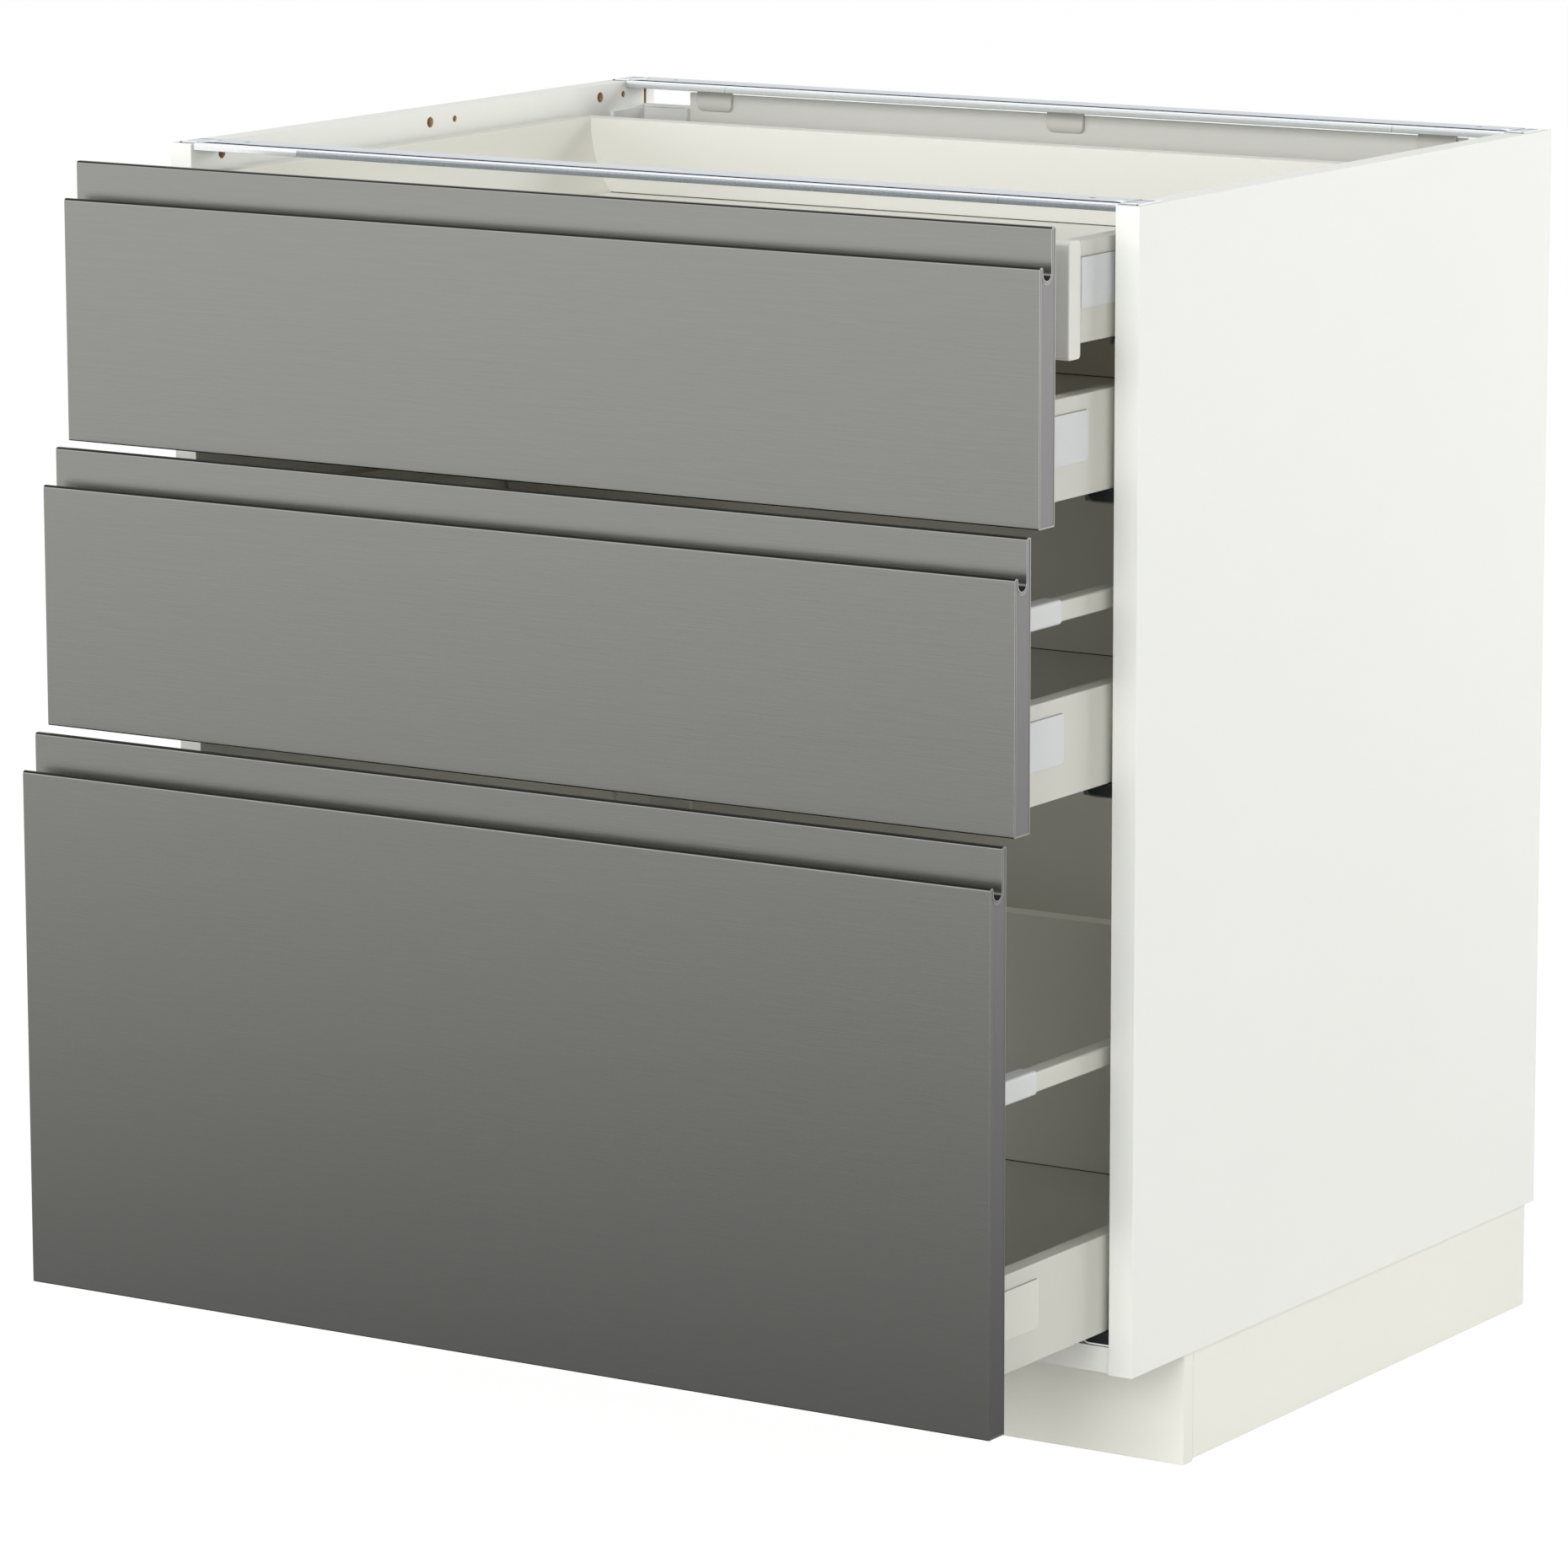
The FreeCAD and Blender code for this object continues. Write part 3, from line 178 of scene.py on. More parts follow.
def swept(ring, stations, axis):
    """Points (station, ring) of a section at several places along an axis, in millimetres.

    The two numbers of the section are Y and Z for axis x, X and Z for y, X and Y for z. A
    ring whose faces would look inwards is taken the other way round.
    """
    across, up, along = AXES[axis]
    if (turning_area(ring) < 0) != (axis == "y"):
        ring = ring[::-1]
    points = np.empty((len(stations), len(ring), 3))
    points[:, :, across] = ring[:, 0]
    points[:, :, up] = ring[:, 1]
    points[:, :, along] = np.reshape(stations, (-1, 1))
    return points


def grid_faces(rows, columns):
    """Four-sided faces of a grid of points, whose last column joins up with the first."""
    row = np.arange(rows - 1)[:, None] * columns
    column = np.arange(columns)[None, :]
    after = (column + 1) % columns
    return np.stack([row + column, row + after, row + columns + after,
                     row + columns + column], -1).reshape(-1, 4).tolist()


def dressed(name, mesh, body, material, nodes, soft, segments):
    """Puts a mesh into the scene with soft edges, its finish and its body."""
    mesh.polygons.foreach_set("use_smooth", np.ones(len(mesh.polygons), bool))
    mesh.materials.clear()
    mesh.materials.append(material)
    obj = placed(name, mesh)
    if soft:
        bevel = obj.modifiers.new("soft_edges", "BEVEL")
        bevel.width = soft * MM
        bevel.segments = segments
        bevel.limit_method = "ANGLE"
        bevel.angle_limit = SOFT_ANGLE
    else:
        mesh.set_sharp_from_angle(angle=SOFT_ANGLE)
    obj.modifiers.new("flat_faces", "WEIGHTED_NORMAL").keep_sharp = True
    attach(obj, body)
    if nodes:
        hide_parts(*nodes)
    return obj


def piece(name, points, faces, body, material, nodes=(), soft=0.3, segments=2):
    """A new mesh that rides on a body and stands for CAD nodes."""
    mesh = bpy.data.meshes.new(name)
    mesh.from_pydata((points.reshape(-1, 3) * MM).tolist(), [], faces)
    mesh.validate()
    return dressed(name, mesh, body, material, nodes, soft, segments)


def profile(name, corners, start, end, axis, body, material, nodes=(), soft=0.3,
            segments=2):
    """A solid section carried from start to end, closed at both ends."""
    ring = corners if isinstance(corners, np.ndarray) else rounded(corners)
    count = len(ring)
    faces = grid_faces(2, count)
    faces += [list(range(count - 1, -1, -1)), list(range(count, count * 2))]
    return piece(name, swept(ring, (start, end), axis), faces, body, material, nodes,
                 soft, segments)


def tube(name, ring, wall, start, end, axis, body, material, nodes=()):
    """A section carried along as a thin skin, open in the middle of its ends.

    Its rings run outside from start to end and back inside, and close on the first ring.
    """
    points = np.concatenate([swept(ring, (start, end), axis),
                             swept(inset(ring, wall), (end, start), axis)])
    count = points.size // 3
    faces = [[corner % count for corner in face] for face in grid_faces(5, len(ring))]
    return piece(name, points, faces, body, material, nodes, soft=0)


def edges(node):
    """Lowest and highest corner of a CAD node in millimetres."""
    low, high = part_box(node)
    return np.array(low) / MM, np.array(high) / MM


square = rounded(rectangle((0, 0), (1, 1), 0.1))
print("a unit square with rounded corners has", len(square), "points")

# %% [markdown]
# The finishes. Each one is a Principled shader whose constant values sit on its own sockets.
# What changes over the surface comes from a few node groups that the finishes share: a
# speckle for coatings and plastics, a brushing for steel, and spangle for zinc and bare
# chipboard. They read Object coordinates, which are metres on the piece, so one scale
# fits all pieces.

# %% Node groups
SOCKETS = {"float": "NodeSocketFloat", "colour": "NodeSocketColor", "vector": "NodeSocketVector"}


def new_group(name, inputs, outputs):
    """An empty node group with named inputs (name, kind, value) and outputs (name, kind)."""
    group = bpy.data.node_groups.new(name, "ShaderNodeTree")
    for label, kind, value in inputs:
        socket = group.interface.new_socket(label, in_out="INPUT", socket_type=SOCKETS[kind])
        if value is not None:
            socket.default_value = value
    for label, kind in outputs:
        group.interface.new_socket(label, in_out="OUTPUT", socket_type=SOCKETS[kind])
    return group, group.nodes.new("NodeGroupInput"), group.nodes.new("NodeGroupOutput")


def add(tree, kind, **values):
    """A node with attributes set by name, and inputs set by number or by name."""
    node = tree.nodes.new("ShaderNode" + kind)
    for key, value in values.items():
        if key.startswith("in_"):
            label = key[3:]
            socket = node.inputs[int(label) if label.isdigit() else label.replace("_", " ")]
            if isinstance(value, bpy.types.NodeSocket):
                tree.links.new(value, socket)
            else:
                socket.default_value = value
        else:
            setattr(node, key, value)
    return node


def math_node(tree, operation, *values):
    """One step of arithmetic on numbers or sockets."""
    inputs = {"in_%d" % place: value for place, value in enumerate(values)}
    return add(tree, "Math", operation=operation, **inputs).outputs[0]


def toned(tree, colour, value, amount):
    """Colour times 1 + (value - 0.5) times amount, for a value from 0 to 1."""
    centred = math_node(tree, "SUBTRACT", value, 0.5)
    gain = math_node(tree, "MULTIPLY_ADD", centred, amount, 1.0)
    scaled = add(tree, "VectorMath", operation="SCALE", in_0=colour, in_Scale=gain)
    return scaled.outputs[0]


def speckle_group():
    """Fine grain and a slow drift of tone, for coatings, plastics and boards."""
    tree, source, sink = new_group(
        "speckle", [("Vector", "vector", None), ("Colour", "colour", None),
                    ("Scale", "float", 900.0), ("Tone", "float", 0.04),
                    ("Drift", "float", 0.03)],
        [("Colour", "colour"), ("Height", "float")])
    fine = add(tree, "TexNoise", in_Vector=source.outputs["Vector"],
               in_Scale=source.outputs["Scale"], in_Detail=3.0, in_Roughness=0.6)
    slow = add(tree, "TexNoise", in_Vector=source.outputs["Vector"], in_Scale=3.0,
               in_Detail=2.0)
    grained = toned(tree, source.outputs["Colour"], fine.outputs[0], source.outputs["Tone"])
    drifted = toned(tree, grained, slow.outputs[0], source.outputs["Drift"])
    tree.links.new(drifted, sink.inputs["Colour"])
    tree.links.new(fine.outputs[0], sink.inputs["Height"])
    return tree


BROAD_SCALE = (0.31, 0.31, 0.37)
BROAD_SHARE = 0.4


def brushing_group():
    """Fine and broader scratches along one direction, as on brushed steel."""
    tree, source, sink = new_group(
        "brushing", [("Vector", "vector", None), ("Colour", "colour", None),
                     ("Stretch", "vector", (30.0, 30.0, 2500.0)), ("Tone", "float", 0.1)],
        [("Colour", "colour"), ("Height", "float")])
    place = add(tree, "VectorMath", operation="MULTIPLY", in_0=source.outputs["Vector"],
                in_1=source.outputs["Stretch"])
    lines = add(tree, "TexNoise", in_Vector=place.outputs[0], in_Scale=1.0, in_Detail=3.0,
                in_Roughness=0.7)
    wider = add(tree, "VectorMath", operation="MULTIPLY", in_0=place.outputs[0],
                in_1=BROAD_SCALE)
    broad = add(tree, "TexNoise", in_Vector=wider.outputs[0], in_Scale=1.0, in_Detail=2.0)
    mixed = add(tree, "Mix", data_type="FLOAT", in_Factor=BROAD_SHARE,
                in_2=lines.outputs[0], in_3=broad.outputs[0])
    brushed = toned(tree, source.outputs["Colour"], mixed.outputs[0], source.outputs["Tone"])
    tree.links.new(brushed, sink.inputs["Colour"])
    tree.links.new(mixed.outputs[0], sink.inputs["Height"])
    return tree


def spangle_group():
    """Flat crystals of zinc, each with its own tone."""
    tree, source, sink = new_group(
        "spangle", [("Vector", "vector", None), ("Colour", "colour", None),
                    ("Scale", "float", 350.0), ("Tone", "float", 0.3)],
        [("Colour", "colour"), ("Height", "float")])
    cells = add(tree, "TexVoronoi", in_Vector=source.outputs["Vector"],
                in_Scale=source.outputs["Scale"])
    split = add(tree, "SeparateColor", in_0=cells.outputs["Color"])
    crystal = toned(tree, source.outputs["Colour"], split.outputs[0], source.outputs["Tone"])
    tree.links.new(crystal, sink.inputs["Colour"])
    tree.links.new(split.outputs[1], sink.inputs["Height"])
    return tree


SPECKLE, BRUSHING, SPANGLE = speckle_group(), brushing_group(), spangle_group()
print("node groups:", [g.name for g in bpy.data.node_groups])

# %% [markdown]
# A finish takes its colour as it shows in a picture under plain light. On the steel of the
# fronts, a painted reflection darkens the faces that turn up or down where the sheet folds over,
# with a painted highlight line beside them, by the direction that a face looks in.

# %% Finishes
RELIEF = 0.001
# Painted reflection on the folds of the steel fronts: where the ramp turns, how dark it is, and
# how light the painted highlight line is
PAINTED_REFLECTION_SPOTS = (0.12, 0.3, 0.5)
PAINTED_REFLECTION_DARK = 0.06
PAINTED_HIGHLIGHT_GAIN = 1.25


def linear(red, green, blue):
    """A colour as a picture shows it, 0 to 255, turned to the light it stands for.

    A dark share of 255 is divided by 12.92, any other is ((share + 0.055) / 1.055) ^ 2.4.
    """
    share = np.array([red, green, blue]) / 255
    light = np.where(share <= 0.04045, share / 12.92, ((share + 0.055) / 1.055) ** 2.4)
    return (*light.tolist(), 1.0)


def finish(name, group, colour, roughness, metallic=0.0, bump=0.05, specular=0.5, **values):
    """A Principled material fed by one of the shared groups."""
    material = bpy.data.materials.new(name)
    material.use_nodes = True
    tree = material.node_tree
    shader = tree.nodes["Principled BSDF"]
    shader.inputs["Roughness"].default_value = roughness
    shader.inputs["Metallic"].default_value = metallic
    shader.inputs["Specular IOR Level"].default_value = specular
    place = add(tree, "TexCoord")
    pattern = add(tree, "Group", node_tree=group, in_Vector=place.outputs["Object"],
                  in_Colour=linear(*colour))
    pattern.name = "pattern"
    for key, value in values.items():
        pattern.inputs[key].default_value = value
    relief = add(tree, "Bump", in_Strength=bump, in_Distance=RELIEF,
                 in_Height=pattern.outputs["Height"])
    tree.links.new(pattern.outputs["Colour"], shader.inputs["Base Color"])
    tree.links.new(relief.outputs[0], shader.inputs["Normal"])
    return material


def painted_fold_reflection(material, dark, light):
    """Paints a dark reflection on what faces up or down, with a painted highlight line beside
    it.

    The share is read from the upright part of the normal in Object coordinates.
    """
    tree = material.node_tree
    place = tree.nodes["Texture Coordinate"]
    upright = add(tree, "SeparateXYZ", in_0=place.outputs["Normal"])
    steep = math_node(tree, "ABSOLUTE", upright.outputs[2])
    ramp = add(tree, "ValToRGB", in_0=steep)
    points = ramp.color_ramp.elements
    for spot, tone in zip(PAINTED_REFLECTION_SPOTS, (1.0, light, dark)):
        element = points.new(spot)
        element.color = (tone, tone, tone, 1)
    points[0].color = (1, 1, 1, 1)
    points[-1].color = (dark, dark, dark, 1)
    shader = tree.nodes["Principled BSDF"]
    source = shader.inputs["Base Color"].links[0].from_socket
    mixed = add(tree, "VectorMath", operation="MULTIPLY", in_0=source, in_1=ramp.outputs[0])
    tree.links.new(mixed.outputs[0], shader.inputs["Base Color"])


STEEL = finish("brushed_steel", BRUSHING, (165, 166, 161), 0.34, metallic=1.0, bump=0.07,
               Stretch=(60.0, 2600.0, 2600.0), Tone=0.17)
# Painted reflection and painted highlight on the folds of the steel fronts
painted_fold_reflection(STEEL, PAINTED_REFLECTION_DARK, PAINTED_HIGHLIGHT_GAIN)
STEEL_END = finish("steel_end", BRUSHING, (163, 161, 162), 0.4, metallic=1.0,
                   Stretch=(2200.0, 2200.0, 90.0), Tone=0.16)
STEEL_EDGE = finish("steel_edge", BRUSHING, (205, 205, 202), 0.3, metallic=1.0,
                    Stretch=(35.0, 2500.0, 2500.0), Tone=0.08)
WHITE_BOARD = finish("white_foil_board", SPECKLE, (240, 241, 236), 0.42, bump=0.04)
PLINTH = finish("plinth_foil", SPECKLE, (242, 241, 233), 0.38, bump=0.04)
BACK_BOARD = finish("back_hardboard", SPECKLE, (232, 232, 226), 0.5, Scale=600.0)
COATED_STEEL = finish("powder_coat", SPECKLE, (209, 209, 200), 0.38, bump=0.1, Scale=1300.0)
# A paler copy of the coat: painted light for the inner drawer's coved faces
COAT_PAINTED_LIGHT = finish("coat_painted_light", SPECKLE, (228, 227, 218), 0.4, bump=0.06, Scale=1300.0)
CREAM_BOARD = finish("cream_foil_board", SPECKLE, (230, 229, 222), 0.42)
GREY_BOARD = finish("grey_foil_board", SPECKLE, (212, 213, 208), 0.4, bump=0.08, Tone=0.1)
INNER_FRONT = finish("inner_front_coat", SPECKLE, (232, 232, 225), 0.4)
CORNER_PLASTIC = finish("corner_plastic", SPECKLE, (233, 234, 230), 0.4)
CLIP_PLASTIC = finish("clip_plastic", SPECKLE, (219, 218, 211), 0.4, bump=0.08)
CAP_PLASTIC = finish("cap_plastic", SPECKLE, (213, 216, 216), 0.35, bump=0.03)
CAP_CREAM = finish("cap_cream", SPECKLE, (219, 219, 210), 0.35, bump=0.03)
BRACKET_PLASTIC = finish("bracket_plastic", SPECKLE, (216, 218, 217), 0.35, bump=0.04)
BLACK_PLASTIC = finish("black_plastic", SPECKLE, (34, 37, 38), 0.45, bump=0.1, Tone=0.2)
LEG_PLASTIC = finish("leg_plastic", SPECKLE, (30, 31, 32), 0.5, bump=0.15, Tone=0.2)
DAMPER_PLASTIC = finish("damper_plastic", SPECKLE, (120, 124, 126), 0.4)
GALVANISED = finish("galvanised_steel", SPANGLE, (196, 203, 210), 0.3, metallic=1.0,
                    bump=0.02, Scale=500.0, Tone=0.1)
# Copies of the zinc by how light falls: a darker one as painted shade, a paler one as painted
# light, a near white one as a painted highlight
ZINC_PAINTED_SHADE = finish("rail_flange_zinc", SPANGLE, (182, 189, 196), 0.35, metallic=1.0,
                     bump=0.02, Scale=1700.0, Tone=0.3)
ZINC_PAINTED_LIGHT = finish("pale_zinc", SPANGLE, (222, 227, 229), 0.3, metallic=1.0, bump=0.02,
                   Scale=1200.0, Tone=0.08)
ZINC_PAINTED_HIGHLIGHT = finish("bright_zinc", SPANGLE, (250, 252, 254), 0.25, metallic=1.0, bump=0.01,
                     Scale=700.0, Tone=0.04)
# Painted shade: near black in the rails' grooves and the tabs' notch and slot, dark warm in the
# drawer back seams, grey in the cap creases
SLOT_SHADE = finish("shaded_groove", SPECKLE, (24, 27, 30), 0.7, bump=0.02, specular=0.1)
SEAM_SHADE = finish("shaded_seam", SPECKLE, (92, 90, 78), 0.7, bump=0.02, specular=0.1)
CREASE_SHADE = finish("shaded_crease", SPECKLE, (150, 150, 144), 0.6, bump=0.02)
# Painted highlight on the runner wrap at the lowest guide
WRAP_PAINTED_HIGHLIGHT = finish("wrap_painted_highlight", SPECKLE, (250, 250, 249), 0.3, bump=0.01)
CHIPBOARD = finish("bare_chipboard", SPANGLE, (198, 162, 126), 0.8, bump=0.2, specular=0.2,
                   Scale=1400.0, Tone=0.6)
RUNNER_STEEL = finish("runner_zinc", SPANGLE, (196, 199, 200), 0.35, metallic=1.0, bump=0.04,
                      Scale=900.0, Tone=0.12)
FITTING_METAL = finish("fitting_zinc", SPANGLE, (190, 190, 186), 0.4, metallic=1.0,
                       Scale=1500.0, Tone=0.1)
SCREW_STEEL = finish("screw_steel", SPANGLE, (205, 206, 205), 0.3, metallic=1.0,
                     Scale=2500.0, Tone=0.1)
BEECH = finish("beech_dowel", BRUSHING, (205, 168, 122), 0.6, bump=0.2,
               Stretch=(60.0, 1500.0, 1500.0), Tone=0.35)
print("finishes:", len(bpy.data.materials))

# %% [markdown]
# The steel-look fronts. A steel sheet is folded round a board: over the face, into the
# finger groove and up the thin plate behind it. The sheet's cut edge shows at the ends as a
# bright line round a darker end piece. So each front is a thin skin of the whole section
# over a core that stops a little short of it.

# %% The three steel fronts
GROOVE_DEEP = 34.5
GROOVE_REAR = 5.5
GROOVE_FRONT = 16
GROOVE_ROUND = 5.2
LIP_DROP = 25
LIP_WALL = 11.5
PLATE_ROUND = 1.8
FOLD_ROUND = 1.2
HEM_ROUND = 0.8
LEAST_FLAT = 0.05
SKIN = 0.8
SHEET_BAND = 1.9
TRIM = 0.6
TRIM_RIM = 0.3
TRIM_SET_BACK = 0.08
CORE_GAP = 0.02
CORE_SET_BACK = 0.3
END_FACING = 0.7


def front_section(low, high, rim=0.0, band=0.0):
    """Section of a front as (Y, Z) points, from the CAD node's box.

    The rear, top and bottom move in by rim. The face, the groove's floor and the plate
    behind the groove move in by band. Beside an arc a side keeps at least a small flat.
    """
    face, rear = low[1] + band, high[1] - rim
    bottom, top = low[2] + rim, high[2] - rim
    plate = high[1] - GROOVE_REAR + band
    floor = high[2] - GROOVE_DEEP - band
    lip_rear = high[1] - GROOVE_FRONT - rim
    lip_top = high[2] - LIP_DROP - max(rim, band / 2)
    curve = min(lip_rear - face, GROOVE_FRONT - LIP_WALL) / 2 - LEAST_FLAT
    return rounded([
        (rear, bottom, HEM_ROUND), (rear, top, FOLD_ROUND),
        (plate, top, min(PLATE_ROUND, rear - plate - 2 * LEAST_FLAT)),
        (plate, floor, GROOVE_ROUND + band), (lip_rear, floor, GROOVE_ROUND),
        (lip_rear, lip_top, curve), (face, lip_top, curve), (face, bottom, FOLD_ROUND),
    ])


def triples(items, label):
    """Three numbers for each face or point of a mesh, as an array."""
    values = np.empty(len(items) * 3)
    items.foreach_get(label, values)
    return values.reshape(-1, 3)


def refinished(obj, index, *materials):
    """More finishes on a piece: the first of them where a face's index is 1, and so on."""
    for material in materials:
        obj.data.materials.append(material)
    obj.data.polygons.foreach_set("material_index", np.asarray(index, np.int32))


for name in ("low", "medium", "high"):
    node, body = "drawer_%s_front" % name, "drawer_" + name
    low, high = edges(node)
    ring = front_section(low, high)
    skin = tube("front_skin_" + name, ring, SKIN, low[0], high[0], "x", body, STEEL,
                [node])
    at_end = np.abs(triples(skin.data.polygons, "normal")[:, 0]) > END_FACING
    refinished(skin, at_end, STEEL_EDGE)
    tube("front_trim_" + name, front_section(low, high, TRIM_RIM, SHEET_BAND), TRIM,
         low[0] + TRIM_SET_BACK, high[0] - TRIM_SET_BACK, "x", body, STEEL_EDGE)
    profile("front_core_" + name, inset(ring, SKIN + CORE_GAP), low[0] + CORE_SET_BACK,
            high[0] - CORE_SET_BACK, "x", body, STEEL_END, soft=0)
    print("steel front", name, [round(v, 1) for v in high - low], "mm")

# %% [markdown]
# The inner drawer's front is a plain coated board with well rounded edges.

# %% The inner front
INNER_FRONT_ROUND = 3
low, high = edges("drawer_inner_front")
profile("inner_front", rectangle(low[1:], high[1:], INNER_FRONT_ROUND), low[0], high[0], "x",
        "drawer_inner", INNER_FRONT, ["drawer_inner_front"], soft=1.2,
        segments=3)
print("inner front", [round(v, 1) for v in high - low], "mm")

# %% [markdown]
# The side panels are chipboard with a white foil and an edge band. Their holes and the groove
# for the back are in the CAD mesh already, so a copy of that mesh is merged and its edges
# are softened. The bottom and the thin back have cut-outs too, and are made the same way.

# %% The side panels, the bottom and the back
SAME_PLACE = 1e-6
SAME_PLANE = math.radians(1)
EDGE_DEPTH = 0.4


def copied(name, node, body, material, soft):
    """A merged copy of a CAD node's mesh, with coplanar triangles joined again."""
    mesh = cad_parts[node].data.copy()
    mesh.name = name
    work = bmesh.new()
    work.from_mesh(mesh)
    bmesh.ops.remove_doubles(work, verts=work.verts, dist=SAME_PLACE)
    bmesh.ops.dissolve_limit(work, angle_limit=SAME_PLANE, verts=work.verts, edges=work.edges)
    work.to_mesh(mesh)
    work.free()
    for layer in [a.name for a in mesh.attributes if a.name.startswith("custom")]:
        mesh.attributes.remove(mesh.attributes[layer])
    return dressed(name, mesh, body, material, [node], soft, segments=2)


def bared(obj, node):
    """Bare chipboard on every face that lies inside the board, such as a hole's wall."""
    low, high = edges(node)
    centre = triples(obj.data.polygons, "center") / MM
    inside = np.all((centre > low + EDGE_DEPTH) & (centre < high - EDGE_DEPTH), axis=1)
    refinished(obj, inside, CHIPBOARD)
    print(node, "has", int(inside.sum()), "bare faces in its holes and grooves")


for side in ("left", "right"):
    node = "side_panel_" + side
    bared(copied("panel_" + side, node, "cabinet", WHITE_BOARD, 0.5), node)
bared(copied("floor_of_cabinet", "bottom_panel", "cabinet", WHITE_BOARD, 0.4),
      "bottom_panel")
copied("back_of_cabinet", "back_panel", "cabinet", BACK_BOARD, 0.2)

# %% [markdown]
# The plinth and the drawer floors are plain boards: a rectangle carried along one axis, with
# the radius of its edge band on the long edges and a bevel of the same size on the ends. The
# inner drawer has a cream floor, the others a grey one.

# %% The plain boards
DRAWERS = ("inner", "low", "medium", "high")
PLINTH_ROUND = 0.8
FLOOR_ROUND = 0.3


def board(name, node, axis, body, material, radius):
    """A rectangular board the size of a CAD node's box."""
    low, high = edges(node)
    across, up, along = AXES[axis]
    section = rectangle(low[[across, up]], high[[across, up]], radius)
    profile(name, section, low[along], high[along], axis, body, material, [node],
            soft=radius)


for side, axis in (("front", "x"), ("left", "y"), ("right", "y")):
    board("plinth_board_" + side, "plinth_" + side, axis, "cabinet", PLINTH,
          PLINTH_ROUND)
for name in DRAWERS:
    board("drawer_floor_" + name, "drawer_%s_bottom" % name, "y", "drawer_" + name,
          CREAM_BOARD if name == "inner" else GREY_BOARD, FLOOR_ROUND)

# %% [markdown]
# The drawer sides are double walls of coated steel. The outer wall stands upright. The inner
# one has a short straight lip below the ledge and then curves inwards to the floor. In the
# inner drawer, the coved faces get a paler copy of the coat as painted light.

# %% The drawer sides
SIDES = (("right", 1), ("left", -1))
SHEET = 1.5
LEDGE = 13.5
SPREAD = 31.5
LIP = 6
FOOT = 22
RETURN = 3.5
FLOOR_ABOVE = 10.5
COVE_STEPS = 14
PAST_LEDGE = 0.2


def cove(ledge, start, reach, drop, extra):
    """Points of the curved inner wall, from its start down to the floor.

    The curve is part of a circle whose centre lies level with its start, inside the drawer.
    Its radius is (reach^2 + drop^2) / (2 reach), and more by the extra where it is the
    sheet's other face. At a depth t below the start, the wall stands at centre +
    sqrt(radius^2 - t^2).
    """
    middle = ledge - (reach ** 2 + drop ** 2) / (2 * reach)
    radius = ledge - middle + extra
    depth = radius * np.sin(np.linspace(0, math.asin(drop / radius), COVE_STEPS))
    return np.stack([middle + np.sqrt(radius ** 2 - depth ** 2), start - depth], 1)


def side_section(outer, bottom, top):
    """Section of the right-hand drawer side as rounded points (X, Z)."""
    ledge = outer - LEDGE
    start = top - LIP
    reach, drop = SPREAD - LEDGE, start - bottom - FLOOR_ABOVE
    inner = cove(ledge, start, reach, drop, 0)
    hollow = cove(ledge, start, reach, drop, SHEET)
    foot = outer - SPREAD
    corners = [(outer, bottom, 0.5), (outer, top, 0.9), (ledge, top, 1.2)]
    corners += [(x, z, 0) for x, z in inner]
    corners += [(foot, bottom + SHEET, 0.4), (foot - FOOT, bottom + SHEET, 0.3),
                (foot - FOOT, bottom, 0.3), (hollow[-1][0], bottom, 0.8)]
    corners += [(x, z, 0) for x, z in hollow[::-1]]
    corners += [(ledge + SHEET, top - SHEET, 0.6), (outer - SHEET, top - SHEET, 0.9),
                (outer - SHEET, bottom + SHEET, 0.3), (outer - RETURN, bottom + SHEET, 0.3),
                (outer - RETURN, bottom, 0.3)]
    return rounded(corners)


for name in DRAWERS:
    for side, way in SIDES:
        node = "drawer_%s_side_%s" % (name, side)
        low, high = edges(node)
        outer = high[0] if way > 0 else -low[0]
        section = side_section(outer, low[2], high[2])
        section[:, 0] *= way
        wall = profile("drawer_wall_%s_%s" % (name, side), section, low[1], high[1], "y",
                       "drawer_" + name, COATED_STEEL, [node], soft=0.25)
        # Painted light: the coved faces of the inner drawer get a paler copy of the coat
        if name == "inner":
            across = np.abs(triples(wall.data.polygons, "center")[:, 0] / MM)
            refinished(wall, across < outer - LEDGE + PAST_LEDGE, COAT_PAINTED_LIGHT)
print("drawer sides:", len(section), "points in the section")

# %% [markdown]
# The drawer backs close the coved sides at the rear. Their lower corners are cut out for the
# runners, along the curve of the side's sheet, so that no light shows through beside it. A
# thin dark strip at the foot of the back is painted shade for the seam at the floor.

# %% The drawer backs
BACK_NOTCH = 19.5
SEAM = 0.7
SEAM_SINK = 0.2
SEAM_PROUD = 0.25
SEAM_DEEP = 0.5


def back_section(side_low, side_high, low, high):
    """Section of a drawer back as points (X, Z), with corners cut out along the cove."""
    ledge, start = side_high[0] - LEDGE, side_high[2] - LIP
    drop = start - side_low[2] - FLOOR_ABOVE
    shoulder = side_low[2] + BACK_NOTCH
    curve = cove(ledge, start, SPREAD - LEDGE, drop, SHEET / 2)[::-1]
    curve = curve[curve[:, 1] < shoulder]
    right = [(side_high[0] - SPREAD, low[2], 0.5)] + [(x, z, 0) for x, z in curve]
    right += [(curve[-1][0] + SHEET, shoulder, 0), (high[0], shoulder, 0.5),
              (high[0], high[2], 1)]
    return rounded(right + mirrored(right[::-1], -1))


